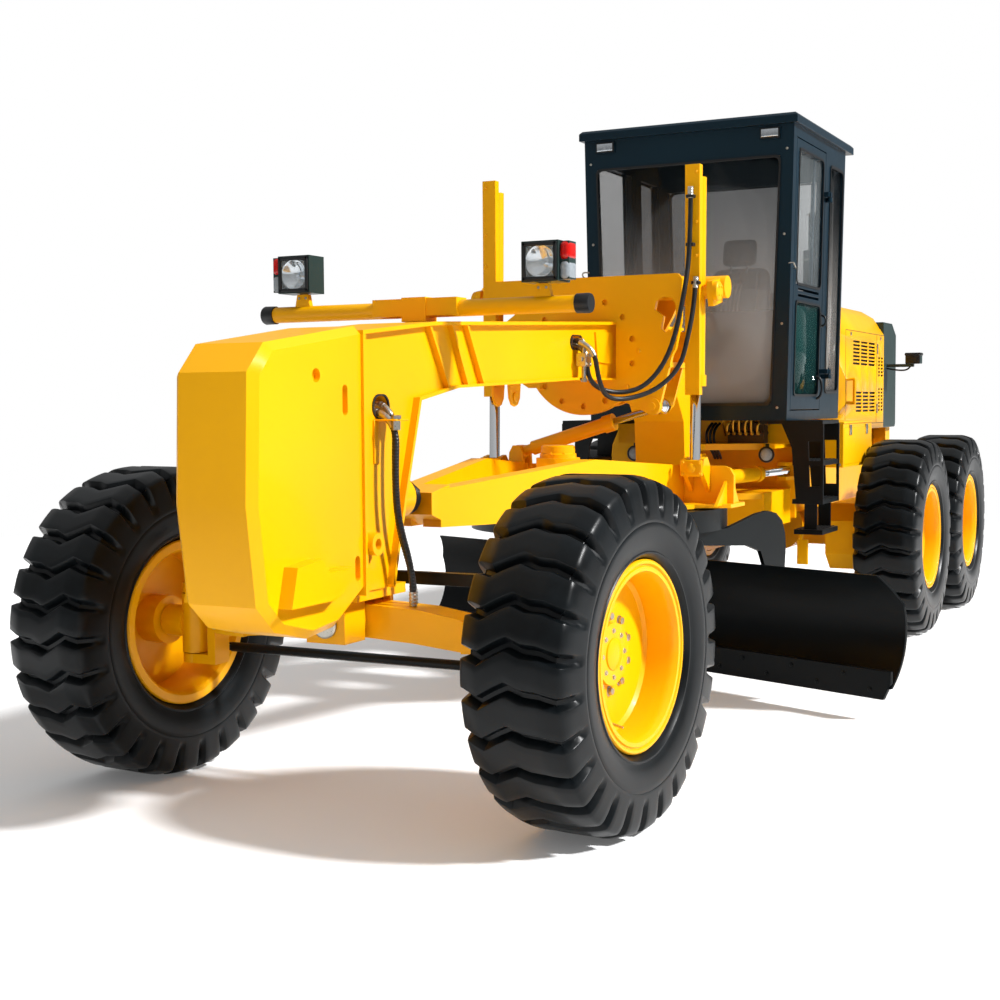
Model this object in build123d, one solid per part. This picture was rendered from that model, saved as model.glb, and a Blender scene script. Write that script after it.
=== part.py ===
from build123d import *
import os
from math import cos, sin, tan, pi, radians

# Motor grader with an articulated frame, in millimetres. The front of the machine faces -Y,
# its left side is +X, and +Z is up. Everything is laid out from the ground point under the
# front axle, and moved at the end so that the origin lies under the middle of the machine.

# Overall layout, measured along Y from the front axle
nose_front_y = -958
tail_y = 7900
front_tandem_y = 5435
tandem_spacing = 1530
track = 2140
hinge_y = 3950
circle_y = 2500
ball_y, ball_z = 300, 1220

# Fits
pin_fit = 0.05
face_gap = 0.3
slide_gap = 0.5
swing_gap = 6

# Wheels
tyre_radius = 674
tyre_width = 445
lug_count = 27
lug_share = 0.64
lug_depth = 36
lug_half = 185
tread_drop = 18
shoulder_radius = 510
rim_radius = 320
rim_wall = 20
flange_radius = 362
flange_wall = 16
ring_radius = 334
rim_half = 190
disc_wall = 18
front_disc_offset = 30
rear_disc_offset = 60
hub_radius = 105
hub_depth = 110
hub_plate, hub_plate_radius = 20, 118
spindle_radius = 45

# Front axle, leaning wheels and steering
steer_at_rest = -4.66
lean_x, lean_z = 660, 700
kingpin_x = 840
kingpin_radius = 30
yoke_boss_radius = 55
cheek_inner_y = 60
cheek_wall = 30
axle_pivot_z = 745
axle_boss_radius = 85
axle_pin_radius = 40
arm_reach = 190
tie_z = 600
tie_drop = 60
tie_slack = 6
stud_radius = 12
lean_bar_rise = 200
lean_bar_y = 150
lean_pin_radius = 18

# Front frame and saddle
beam_half = 160
flange_half = 192
flange_plate = 16
nose_half = 180
nose_seat_y = -250
nose_chamfer = 32
pillar_y = 3700
boss_y, boss_z = -190, 1068
# Ribs on the beam's sides, each from its top y and z to its bottom y and z
frame_ribs = ((280, 1946, 450, 1676), (474, 1956, 622, 1690), (611, 1962, 771, 1696))
# Windows in the beam's sides, each from y to y at height z, with the radius of its ends
frame_windows = ((1800, 1878, 1924, 38), (-90, -62, 1605, 50))
tongue_bottom_z, tongue_top_z = 1050, 1290
hinge_pin_radius = 45
socket_radius = 92
ball_radius = 60
saddle_front_y, saddle_rear_y = 2290, 2620
disc_z = 1890
disc_radius = 340
disc_plate = 40
index_holes = 14
cross_tube_y, cross_tube_z, cross_tube_radius = 2550, 2230, 60

# Drawbar, circle and blade
drawbar_lift_x = 600
lift_eye_y, lift_eye_z = 2400, 1270
wing_y, wing_rear_y, wing_wall = 2475, 2640, 30
circle_outer = 710
circle_wall = 50
circle_inner = 560
circle_top_z, circle_bottom_z = 1045, 930
circle_flange = 28
ring_plate_z = 1052
ring_plate = 24
shoe_foot = 30
blade_angle = 20.3
blade_half = 1790
blade_top_z, blade_bottom_z = 735, 105
blade_edge_t = 440
blade_hollow = 130
blade_wall = 20
edge_height = 150
carrier_s = 540
carrier_wall = 90
arm_s = 640
arm_wall = 25
tip_t, tip_z = 720, 360
tip_pin_radius = 28
rail_t = 585
rail_wall = 30
rail_z_middle, rail_z_spread = 450, 170
rail_half_height = 30
rail_half = 1250

# Cylinders
trunnion_y, trunnion_z, trunnion_radius = 2420, 2200, 28
lift_rod_radius = 29
lift_barrel_radius = 48
guard_down, guard_up, guard_half = 545, 660, 40
eye_wall = 60
eye_radius = 42
eye_pin_radius = 22
lug_wall = 24
neck = 85
shift_y = 2430
shift_gap = 24
shift_low_x, shift_low_z = -450, 1340
shift_top_x, shift_top_z = 400, 1595
shift_barrel_radius, shift_rod_radius = 40, 20
artic_z = 1150
artic_front_x, artic_front_y = 330, 3600
artic_rear_x, artic_rear_y = 420, 4700
artic_barrel_radius, artic_rod_radius = 45, 25

# Rear frame, cab and engine cover
frame_half = 340
frame_wall = 30
frame_bottom_z, frame_top_z = 830, 1400
front_box_y, bulkhead_y = 4150, 4760
deck_half = 450
deck_z, deck_plate = 1310, 40
case_inner_x, case_outer_x = 600, 820
case_half_height = 230
cab_front_y, cab_rear_y = 3920, 5190
cab_bottom_z, cab_height = 1500, 1820
cab_half_top, cab_half_bottom = 700, 660
cab_wall = 45
roof_half = 728
roof_front_y, roof_rear_y = 3890, 5305
roof_height = 65
door_front_y, door_rear_y = 3990, 4690
door_sill, door_header = 60, 70
door_gap = 6
door_sash = 55
door_kick = 90
door_rail_z, rail_half_z = 2300, 52
door_pin_x, door_pin_y = 720, 4700
door_pin_in = 240
glass_wall = 6
quarter_front_y, quarter_rear_y = 4800, 5130
quarter_sill, quarter_header = 180, 140
windshield_sill, windshield_header = 100, 190
hood_half = 500
hood_front_y, hood_rear_y = 5330, 7330
hood_wall = 6
hood_bottom_z, hood_shoulder_z = 1401, 2160
hood_top_z, hood_rear_top_z = 2360, 2300
# Side vents, each from y to y and from z to z, with its number of slot columns
hood_vents = ((6282, 7010, 1900, 2100, 3), (7131, 7300, 1820, 1980, 2), (6381, 7020, 1536, 1716, 3),
              (7141, 7300, 1540, 1730, 2))
vent_pitch, vent_bar, vent_web = 28, 12, 36
bumper_half = 450
bumper_y, bumper_rear_y = 7640, 7800
hitch_radius = 25
hitch_edge = 45

# Hoses
hose_radius, hose_bend = 12, 45
leg_hoses = (((100.3, -48, 1618), (214, -48, 1618), (216, -66, 1300), (218, -45, 1130), (232, 20, 960),
              (238, 40, 880), (238, 40, 805.5)),
             ((100.3, -100, 1590), (250, -100, 1590), (246, -112, 1300), (246, -90, 1150), (262, -30, 980),
              (268, -20, 880), (268, -20, 804)))
beam_hoses = (((600, 2326, 2740), (600, 2322, 2420), (590, 2258, 2180), (545, 2200, 1900),
               (480, 2130, 1750), (390, 2070, 1672), (270, 1960, 1668), (215, 1850, 1735),
               (215, 1848, 1912), (100.3, 1848, 1912)),
              ((630, 2326, 2270), (628, 2306, 2130), (612, 2256, 1960), (585, 2215, 1800),
               (500, 2130, 1690), (400, 2040, 1640), (310, 1940, 1630), (285, 1850, 1690),
               (265, 1808, 1936), (100.3, 1808, 1936)))

wheel_ys = (front_tandem_y, front_tandem_y + tandem_spacing)
tandem_y = front_tandem_y + tandem_spacing / 2
middle_y = (nose_front_y + tail_y) / 2
rail_zs = (rail_z_middle - rail_z_spread, rail_z_middle + rail_z_spread)
cab_top_z = cab_bottom_z + cab_height
roof_top_z = cab_top_z + roof_height
sill_z, header_z = cab_bottom_z + windshield_sill, cab_top_z - windshield_header
door_bottom_z, door_top_z = cab_bottom_z + door_sill, cab_top_z - door_header
door_pin_zs = (door_bottom_z + door_pin_in, door_top_z - door_pin_in - 50)
quarter_zs = (cab_bottom_z + quarter_sill, cab_top_z - quarter_header)
sides = (("left", 1), ("right", -1))

# The turned blade is slid along itself until its two ends reach equally far out
blade_depths = 2 * blade_edge_t - 2 + blade_hollow + blade_wall
blade_shift = -tan(radians(blade_angle)) * blade_depths / 2


def block(x0, x1, y0, y1, z0, z1):
    """Rectangular block between two corners, given in any order along X."""
    size = (abs(x1 - x0), y1 - y0, z1 - z0)
    return Pos((x0 + x1) / 2, (y0 + y1) / 2, (z0 + z1) / 2) * Box(*size)


def slab_yz(points, x0, x1):
    """Side view outline, points (y, z), given thickness between x0 and x1."""
    x0, x1 = min(x0, x1), max(x0, x1)
    place = Plane(origin=(x0, 0, 0), x_dir=(0, 1, 0), z_dir=(1, 0, 0))
    return extrude(place * make_face(Polyline(*points, close=True)), amount=x1 - x0, dir=(1, 0, 0))


def slab_xz(points, y0, y1):
    """Front view outline, points (x, z), given thickness from y0 to y1."""
    place = Plane(origin=(0, y0, 0), x_dir=(1, 0, 0), z_dir=(0, -1, 0))
    return extrude(place * make_face(Polyline(*points, close=True)), amount=y1 - y0, dir=(0, 1, 0))


def slab_xy(points, z0, z1):
    """Plan view outline, points (x, y), given thickness from z0 to z1."""
    return extrude(Pos(0, 0, z0) * make_face(Polyline(*points, close=True)), amount=z1 - z0)


def bar(start, end, radius):
    """Round bar between two points."""
    a, b = Vector(*start), Vector(*end)
    base = (Align.CENTER, Align.CENTER, Align.MIN)
    return Plane(origin=a, z_dir=b - a) * Cylinder(radius, (b - a).length, align=base)


def tube(start, end, outer, inner):
    """Round tube between two points, open at both ends."""
    return bar(start, end, outer) - bar(start, end, inner)


def along_line(start, end, distance):
    """Point on the line from start to end, at a distance from start."""
    a, b = Vector(*start), Vector(*end)
    return tuple(a + (b - a).normalized() * distance)


def joined(*shapes):
    """One shape from several that touch or overlap."""
    result = shapes[0]
    for shape in shapes[1:]:
        result = result + shape
    return result


def mirrored(shape):
    """Mirror image across the machine's middle plane."""
    return mirror(shape, about=Plane.YZ)


def lathe_x(points):
    """Turned part about X from a half section, points (x, radius)."""
    return revolve(Plane.XZ * make_face(Polyline(*points, close=True)), Axis.X)


# Wheels

def on_wheel(x, radius, turns):
    """Point of a wheel about X, by its place along X, its radius and its angle in turns."""
    angle = 2 * pi * turns
    return Vector(x, radius * cos(angle), radius * sin(angle))


def facet(*points):
    """Flat face with the given corners."""
    return Face(Wire.make_polygon(list(points), close=True))


def tyre():
    """Tyre about X: flat faced lugs across the tread in a wave, with V grooves between them."""
    bead_x, half = rim_half - flange_wall - face_gap, tyre_width / 2
    widen = 1 / cos(pi / lug_count)
    bead_r, bore_r = (flange_radius + 4) * widen, (rim_radius + face_gap) * widen
    tread = ((-lug_half, tyre_radius - tread_drop, 0.0), (-0.64 * lug_half, tyre_radius, 0.12),
             (-0.05 * lug_half, tyre_radius, -0.28), (lug_half, tyre_radius - tread_drop, 0.0))
    edge = (1 - lug_share) / 2
    down = 0.75 - (edge + tread[1][2]) / lug_count

    def at(x, radius, pitch):
        return on_wheel(x, radius, down + pitch / lug_count)

    faces = []
    for i in range(lug_count):
        rows = [(at(x, r - lug_depth, i + s), at(x, r, i + s + edge), at(x, r, i + s + 1 - edge),
                 at(x, r - lug_depth, i + s + 1)) for x, r, s in tread]
        for (g0, a0, b0, h0), (g1, a1, b1, h1) in zip(rows, rows[1:]):
            faces += [facet(g0, a0, a1), facet(g0, a1, g1), facet(a0, b0, b1), facet(a0, b1, a1),
                      facet(b0, h0, h1), facet(b0, h1, b1)]
        for row, side in ((rows[0], -1), (rows[-1], 1)):
            g, a, b, h = row
            w0, w1 = at(side * half, shoulder_radius, i), at(side * half, shoulder_radius, i + 1)
            faces += [facet(g, a, w0), facet(a, b, w1, w0), facet(b, h, w1)]
            faces.append(facet(w0, w1, at(side * bead_x, bead_r, i + 1), at(side * bead_x, bead_r, i)))
        faces.append(facet(at(-bead_x, bore_r, i), at(bead_x, bore_r, i), at(bead_x, bore_r, i + 1),
                           at(-bead_x, bore_r, i + 1)))
    for x in (-bead_x, bead_x):
        outer, inner = (Wire.make_polygon([at(x, r, i) for i in range(lug_count)], close=True)
                        for r in (bead_r, bore_r))
        faces.append(Face(outer, [inner]))
    return Solid(Shell(faces))


def rim(disc_offset):
    """Rim about X: barrel, flanges, lock ring, disc, and hub with a blind bore towards -X."""
    seat_x, inner = rim_half - flange_wall, rim_radius - rim_wall
    barrel = lathe_x([
        (-rim_half, inner + 24), (-rim_half, flange_radius - 6), (6 - rim_half, flange_radius),
        (-seat_x, flange_radius), (-seat_x, rim_radius), (seat_x, rim_radius), (seat_x, flange_radius),
        (rim_half - 6, flange_radius), (rim_half, flange_radius - 6), (rim_half, ring_radius + 12),
        (rim_half - 9, ring_radius + 7), (rim_half - 9, ring_radius + 3), (rim_half - 2, ring_radius),
        (rim_half - 2, ring_radius - 16), (seat_x - 10, inner + 6), (seat_x - 60, inner),
        (60 - seat_x, inner), (-seat_x, inner + 10),
    ])
    disc_x = disc_offset + disc_wall
    disc = bar((disc_offset, 0, 0), (disc_x, 0, 0), rim_radius - rim_wall / 2)
    fillet_ring = lathe_x([(disc_x - 1, inner + 2), (disc_x - 1, inner - 16), (disc_x + 14, inner + 2)])
    hub = bar((disc_offset - hub_depth, 0, 0), (disc_x, 0, 0), hub_radius)
    plate = bar((disc_x - 1, 0, 0), (disc_x + hub_plate, 0, 0), hub_plate_radius)
    bore = bar((disc_offset - hub_depth - 1, 0, 0), (disc_offset + 30, 0, 0), spindle_radius + pin_fit)
    return joined(barrel, disc, fillet_ring, hub, plate) - bore


def front_wheel_place(side):
    """Frame of a front wheel: its middle, with +X outward, steered as it stands at rest."""
    kingpin = Pos(side * kingpin_x, 0, tyre_radius) * Rot(0, 0, steer_at_rest)
    return kingpin * Rot(0, 0, 90 - 90 * side) * Pos(track / 2 - kingpin_x, 0, 0)


def rear_wheel_place(side, y):
    """Frame of a rear wheel: its middle, with +X outward."""
    return Pos(side * track / 2, y, tyre_radius) * Rot(0, 0, 90 - 90 * side)


# Front axle

def front_axle():
    """Axle beam that droops to two forks, which hold the lean yokes, with its pivot boss."""
    half_beam = slab_xz([(0, 815), (330, 800), (560, 765), (560, 640), (300, 665), (0, 680)], -80, 80)
    cheek_y0, cheek_y1 = cheek_inner_y + face_gap, cheek_inner_y + cheek_wall
    cheek = slab_xz([(520, 640), (520, 765), (lean_x, lean_z + yoke_boss_radius),
                     (lean_x + 50, lean_z), (lean_x, lean_z - yoke_boss_radius)], cheek_y0, cheek_y1)
    pin = bar((lean_x, -cheek_y1 - 8, lean_z), (lean_x, cheek_y1 + 8, lean_z), kingpin_radius)
    half = joined(half_beam, cheek, mirror(cheek, about=Plane.XZ), pin)
    boss = bar((0, -95, axle_pivot_z), (0, 95, axle_pivot_z), axle_boss_radius)
    hole = bar((0, -100, axle_pivot_z), (0, 100, axle_pivot_z), axle_pin_radius + face_gap)
    return joined(half, mirrored(half), boss) - hole


def lean_yoke():
    """Left lean yoke: boss on the axle's pin, back plate, two kingpin ears and the lean lug."""
    boss = bar((lean_x, -cheek_inner_y, lean_z), (lean_x, cheek_inner_y, lean_z), yoke_boss_radius)
    x0, x1 = kingpin_x - 140, kingpin_x - 100
    low_z, high_z = tyre_radius - 172, tyre_radius + 172
    body = boss + block(x0, x1, -50, 50, low_z, high_z)
    for z in (low_z, high_z - 40):
        body += block(x0, kingpin_x, -50, 50, z, z + 40)
        body += bar((kingpin_x, 0, z), (kingpin_x, 0, z + 40), 55)
    lug_y0, lug_y1 = lean_bar_y - 50, lean_bar_y - 28
    top_z = lean_z + lean_bar_rise
    body += block(x0, x1, 40, lug_y1, tyre_radius + 120, high_z)
    body += slab_xz([(x1, tyre_radius + 120), (x1, high_z), (lean_x + 30, top_z + 30),
                     (lean_x - 30, top_z + 30), (lean_x - 30, top_z - 25)], lug_y0, lug_y1)
    body += bar((lean_x, lug_y0, top_z), (lean_x, lean_bar_y + 40, top_z), lean_pin_radius)
    body -= bar((kingpin_x, 0, low_z - 5), (kingpin_x, 0, high_z + 5), kingpin_radius + pin_fit)
    return body - bar((lean_x, -cheek_inner_y - 5, lean_z), (lean_x, cheek_inner_y + 5, lean_z),
                      kingpin_radius + pin_fit)


def lean_bar():
    """Bar that ties the two lean yokes together above and behind the axle."""
    z = lean_z + lean_bar_rise
    y0, y1 = lean_bar_y - 27, lean_bar_y + 27
    body = block(-lean_x, lean_x, y0 + 8, y1 - 8, z - 26, z + 26)
    for x in (-lean_x, lean_x):
        body += bar((x, y0, z), (x, y1, z), 40)
    body -= bar((lean_x, y0 - 5, z), (lean_x, y1 + 5, z), lean_pin_radius + pin_fit)
    return body - bar((-lean_x, y0 - 5, z), (-lean_x, y1 + 5, z), lean_pin_radius + 2 * face_gap)


def knuckle(side):
    """Knuckle with its kingpin, the wheel's spindle and the steering arm, as it stands."""
    wheel_x = track / 2 - kingpin_x
    body = bar((0, 0, -128), (0, 0, 128), 58) + bar((0, 0, -176), (0, 0, 176), kingpin_radius)
    body += bar((40, 0, 0), (wheel_x + front_disc_offset + 20, 0, 0), spindle_radius)
    body += bar((30, 0, 0), (wheel_x + front_disc_offset - hub_depth - 6, 0, 0), 68)
    body = Rot(0, 0, 90 - 90 * side) * body
    z = tie_z - tyre_radius
    arm = slab_xy([(-34, 0), (34, 0), (24, arm_reach), (-24, arm_reach)], z - 15, z + 15)
    arm += bar((0, arm_reach, z - 15), (0, arm_reach, z + 15), 24)
    arm += bar((0, arm_reach, z - tie_drop - 25), (0, arm_reach, z), stud_radius)
    return Pos(side * kingpin_x, 0, tyre_radius) * Rot(0, 0, steer_at_rest) * (body + arm)


def arm_end(side):
    """Plan position of a steering arm's stud at rest."""
    turn = radians(steer_at_rest)
    return side * kingpin_x - arm_reach * sin(turn), arm_reach * cos(turn)


def tie_rod_end():
    """Ring on the left arm's stud, with two stub pins that carry the tie rod's fork."""
    x, y = arm_end(1)
    z = tie_z - tie_drop
    body = bar((x, y, z - 15), (x, y, z + 15), 26) + bar((x, y - 46, z), (x, y + 46, z), 8)
    return body - bar((x, y, z - 20), (x, y, z + 20), stud_radius + pin_fit)


def tie_rod():
    """Tie rod from its fork round the left stud's ring to a wide eye on the right stud."""
    x_left, y = arm_end(1)
    x_right, _ = arm_end(-1)
    z = tie_z - tie_drop
    body = bar((x_right + tie_slack + 30, y, z), (x_left - 50, y, z), 21)
    body += block(x_left - 72, x_left - 48, y - 46, y + 46, z - 14, z + 14)
    for y0 in (y - 46, y + 31):
        body += block(x_left - 60, x_left, y0, y0 + 15, z - 14, z + 14)
        body += bar((x_left, y0, z), (x_left, y0 + 15, z), 18)
    body += bar((x_right + tie_slack, y, z - 12), (x_right + tie_slack, y, z + 12), 42)
    body -= bar((x_left, y - 50, z), (x_left, y + 50, z), 8 + pin_fit)
    return body - bar((x_right + tie_slack, y, z - 20), (x_right + tie_slack, y, z + 20), 28)


# Front frame

def nose_block():
    """Ballast block on the nose, with a knee in its front face and cut corners below."""
    body = slab_yz([(nose_front_y + 18, 1730), (-840, 1835), (nose_seat_y, 1917), (nose_seat_y, 870),
                    (-420, 770), (-600, 750), (-800, 800), (-908, 900), (nose_front_y, 1260)],
                   -nose_half, nose_half)
    rims = [e for e in body.edges() if abs(abs(e.center().X) - nose_half) < 1
            and e.center().Y < nose_seat_y - 20]
    body = chamfer(rims, nose_chamfer)
    for s in (-1, 1):
        outer, inner = s * (nose_half + 20), s * (nose_half - 25)
        hook = slab_yz([(-820, 890), (-780, 1035), (-620, 1050), (-575, 1000), (-420, 1000), (-400, 960),
                        (-520, 890)], s * (nose_half - 5), s * (nose_half + 60))
        body += hook
        body -= bar((outer, -558, 1722), (inner, -558, 1722), 26)
        for y, z0, z1 in ((-365, 1590, 1672), (-290, 950, 1012)):
            body -= block(outer, inner, y - 18, y + 18, z0, z1)
            body -= bar((outer, y, z0), (inner, y, z0), 18) + bar((outer, y, z1), (inner, y, z1), 18)
    return body


def front_frame():
    """Bent box beam with wider flanges, ball socket, axle ears and the hinge tongue."""
    seat_y = nose_seat_y + face_gap
    top_line = [(seat_y, 1900), (330, 1960), (2430, 2055), (3350, 2060)]
    low_line = [(3080, 1745), (1820, 1733), (520, 1683), (200, 1630), (70, 1225), (-30, 880)]
    rear_line = [(3660, 1960), (pillar_y, 1850), (pillar_y, tongue_bottom_z), (3500, tongue_bottom_z),
                 (3470, 1150), (3440, 1500), (3300, 1680)]
    body = slab_yz([(seat_y, 880)] + top_line + rear_line + low_line, -beam_half, beam_half)
    below = [(y, z - flange_plate) for y, z in reversed(top_line)]
    body += slab_yz(top_line + below, -flange_half, flange_half)
    inward = [(y - 14, z + 12) for y, z in reversed(low_line)]
    body += slab_yz(low_line + inward, -flange_half, flange_half)
    body += block(-flange_half, flange_half, seat_y, seat_y + 20, 870, 1900)
    body += block(-150, 150, seat_y, 122, 842, 884)
    body += block(-90, 90, seat_y, -100, axle_pivot_z - 75, 850)
    body += block(-90, 90, 97, 122, axle_pivot_z - 75, 850)
    body += slab_xy([(-beam_half, 3600), (beam_half, 3600), (beam_half, 3720), (110, hinge_y),
                     (-110, hinge_y), (-beam_half, 3720)], tongue_bottom_z, tongue_top_z)
    body += bar((0, hinge_y, tongue_bottom_z), (0, hinge_y, tongue_top_z), 120)
    for s in (-1, 1):
        web, edge = s * (beam_half - 2), s * (flange_half - 6)
        for top_y, top_z, low_y, low_z in frame_ribs:
            body += slab_yz([(top_y, top_z), (top_y + 16, top_z), (low_y + 16, low_z), (low_y, low_z)],
                            web, edge)
        body += slab_yz([(2070, 1985), (2400, 2000), (2300, 1822), (2095, 1830)], web, s * (beam_half + 10))
        body += bar((web, boss_y, boss_z), (s * (flange_half + 22), boss_y, boss_z), 45)
        body -= bar((s * (beam_half + 10), boss_y, boss_z), (s * 300, boss_y, boss_z), 22)
        deep, out = s * (beam_half - 60), s * (beam_half + 20)
        for y0, y1, z, radius in frame_windows:
            body -= bar((deep, y0, z), (out, y0, z), radius) + bar((deep, y1, z), (out, y1, z), radius)
            body -= block(deep, out, y0, y1, z - radius, z + radius)
        plan = [(140 * s, 3500), (artic_front_x * s, artic_front_y - 52),
                ((artic_front_x + 50) * s, artic_front_y), (artic_front_x * s, artic_front_y + 52),
                (140 * s, 3690)]
        for z in (artic_z - eye_wall / 2 - swing_gap - lug_wall, artic_z + eye_wall / 2 + swing_gap):
            body += slab_xy(plan, z, z + lug_wall)
    body -= bar((0, -95.3, axle_pivot_z), (0, 95.3, axle_pivot_z), axle_boss_radius + face_gap)
    body += bar((0, seat_y, axle_pivot_z), (0, 122, axle_pivot_z), axle_pin_radius)
    body += bar((0, 40, ball_z), (0, ball_y + 18, ball_z), socket_radius)
    body -= Pos(0, ball_y, ball_z) * Sphere(ball_radius + face_gap)
    body -= bar((0, ball_y, ball_z), (0, ball_y + 40, ball_z), ball_radius - 3)
    body -= bar((0, hinge_y, 1000), (0, hinge_y, 1340), hinge_pin_radius + pin_fit)
    for s in (-1, 1):
        body -= bar((s * artic_front_x, artic_front_y, artic_z - 90),
                    (s * artic_front_x, artic_front_y, artic_z + 90), eye_pin_radius + pin_fit)
    return body


def saddle():
    """Saddle clasped round the beam: index disc, rear plate, cross tube and trunnion ears."""
    y0, y1 = saddle_front_y, saddle_rear_y
    wing = [(-500, 2292), (500, 2292), (400, 2080), (330, 1960), (-330, 1960), (-400, 2080)]
    plate = [(-540, 2292), (540, 2292), (565, 2260), (560, 2040), (530, 1900), (470, 1790), (330, 1700),
             (-330, 1700), (-470, 1790), (-530, 1900), (-560, 2040), (-565, 2260)]
    body = bar((0, y0, disc_z), (0, y0 + disc_plate, disc_z), disc_radius)
    body += bar((0, y1 - disc_plate, disc_z), (0, y1, disc_z), disc_radius - 40)
    body += slab_xz(plate, y0, y0 + 30) + slab_xz(wing, y1 - 30, y1)
    for s in (-1, 1):
        kidney = [(s * x, z) for x, z in ((412, 2105), (422, 2150), (460, 2172), (510, 2165), (532, 2125),
                                          (530, 2040), (505, 1995), (470, 1985), (450, 2005), (462, 2070))]
        body -= slab_xz(kidney, y0 - 5, y0 + 35)
    for i in range(index_holes):
        turn = 2 * pi * (i + 0.5) / index_holes
        x, z = 0.86 * disc_radius * cos(turn), disc_z + 0.86 * disc_radius * sin(turn)
        body -= bar((x, y0 - 5, z), (x, y0 + 20, z), 16)
    body += block(-500, 500, y0, y1, 2272, 2292)
    body += bar((-730, cross_tube_y, cross_tube_z), (730, cross_tube_y, cross_tube_z), cross_tube_radius)
    for s in (-1, 1):
        for x in (500, 672):
            body += slab_yz([(cross_tube_y, 2280), (trunnion_y - 40, 2250), (trunnion_y - 50, 2200),
                             (trunnion_y - 20, 2120), (cross_tube_y, 2150)], s * x, s * (x + 30))
        body -= bar((s * 480, trunnion_y, trunnion_z), (s * 720, trunnion_y, trunnion_z),
                    trunnion_radius + pin_fit)
    body += slab_xz([(200, 2000), (500, 2000), (500, 1830), (330, 1700), (200, 1700)], y1 - 30, y1)
    body += block(330, 500, y0, y1, 1800, 1830)
    lug_y = shift_y + eye_wall / 2 + shift_gap
    body += slab_xz([(330, 1810), (500, 1810), (shift_top_x + 42, shift_top_z),
                     (shift_top_x, shift_top_z - 42), (shift_top_x - 42, shift_top_z)],
                    lug_y, lug_y + lug_wall)
    body += slab_xz([(200, 1730), (510, 1860), (shift_top_x + 44, shift_top_z + 14),
                     (shift_top_x - 20, shift_top_z - 40), (200, 1640)], y0, y0 + 30)
    body += bar((shift_top_x, y0 - 10, shift_top_z), (shift_top_x, y0 + 30, shift_top_z), 46)
    body += bar((shift_top_x, y0 - 20, shift_top_z), (shift_top_x, y0 - 5, shift_top_z), eye_pin_radius)
    slot = [(1820, 1733 - face_gap), (3080, 1745 - face_gap), (3080, 2061), (2430, 2055 + face_gap),
            (1820, 2028 + face_gap)]
    return body - slab_yz(slot, -flange_half - face_gap, flange_half + face_gap)


def light_bar():
    """Tube across the nose with two lamp posts and a clamp on the beam."""
    y, z = 516, 2025
    body = bar((-800, y, z), (800, y, z), 36) + block(-210, -60, y - 46, y + 46, z - 30, z + 46)
    body += block(60, 210, y - 46, y + 46, z - 30, z + 46)
    for s in (-1, 1):
        body += slab_xz([(s * 600 - 42, z + 20), (s * 600 + 42, z + 20), (s * 600 + 28, z + 88),
                         (s * 600 - 28, z + 88)], y - 14, y + 14)
        body += bar((s * 762, y, z), (s * 812, y, z), 40)
    return body + block(-60, 60, y - 50, y + 50, 1971, 2076)


def headlamps():
    """Square lamp housings on the light bar's posts, hollow behind their lenses."""
    lamps = []
    for s in (-1, 1):
        x, z, y0 = s * 612, 2200, 452
        shell = block(x - 84, x + 84, y0, y0 + 120, z - 84, z + 84)
        shell -= block(x - 72, x + 72, y0 - 5, y0 + 40, z - 72, z + 72)
        shell += bar((s * 600, 516, 2113 + face_gap), (s * 600, 516, 2125), 20)
        shell += block(x + s * 84, x + s * 124, y0 + 20, y0 + 90, z - 76, z + 80)
        lamps.append(shell)
    return lamps[0] + lamps[1]


# Cylinders

def cylinder_barrel(base, gland, outer, inner):
    """Cylinder barrel from its closed base to its gland, with a collar and the rod's bore."""
    body = bar(base, gland, outer) + bar(along_line(gland, base, 60), gland, outer + 8)
    return body - bar(along_line(base, gland, 30), along_line(gland, base, -5), inner + pin_fit)


def eye(centre, axis, reach, radius):
    """Boss centred on a pin, reach long along the pin's axis."""
    c, n = Vector(*centre), Vector(*axis)
    return bar(tuple(c - n * reach / 2), tuple(c + n * reach / 2), radius)


def free_eye(centre, axis):
    """Eye with its own pin stubs, which hangs between two lugs without touching them."""
    pin = eye(centre, axis, eye_wall + 2 * swing_gap - 1, eye_pin_radius)
    return eye(centre, axis, eye_wall, eye_radius) + pin


def eye_barrel(pin, far, reach, outer, inner, axis):
    """Barrel on a pin of its own between two lugs, with a neck that clears their edges."""
    base, gland = along_line(pin, far, neck), along_line(pin, far, reach)
    body = cylinder_barrel(base, gland, outer, inner) + bar(pin, along_line(pin, far, neck + 10), 28)
    body += eye(pin, axis, eye_wall, eye_radius)
    return body + eye(pin, axis, eye_wall + 2 * (swing_gap + lug_wall), eye_pin_radius)


def lift_ends(side):
    """Trunnion centre and lower eye centre of a lift cylinder."""
    x = side * drawbar_lift_x
    return (x, trunnion_y, trunnion_z), (x, lift_eye_y, lift_eye_z)


def lift_barrel(side):
    """Lift barrel with trunnion stubs and the tall guard channel in front of it."""
    (x, y, z), low = lift_ends(side)
    base, gland = along_line((x, y, z), low, -600), along_line((x, y, z), low, 500)
    body = cylinder_barrel(base, gland, lift_barrel_radius, lift_rod_radius)
    body += bar((x - 102, y, z), (x - 40, y, z), trunnion_radius)
    body += bar((x + 40, y, z), (x + 102, y, z), trunnion_radius)
    guard_y = y - 68
    low_z, high_z = z - guard_down, z + guard_up
    half = guard_half
    body += block(x - half, x + half, guard_y, guard_y + 8, low_z, high_z)
    for s in (-1, 1):
        body += block(x + s * half, x + s * (half - 8), guard_y, guard_y + 46, low_z, high_z)
    for guard_z in (low_z + 105, z + 220, high_z - 120):
        body += block(x - half + 4, x + half - 4, guard_y + 4, guard_y + 24, guard_z, guard_z + 20)
    return body


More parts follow.
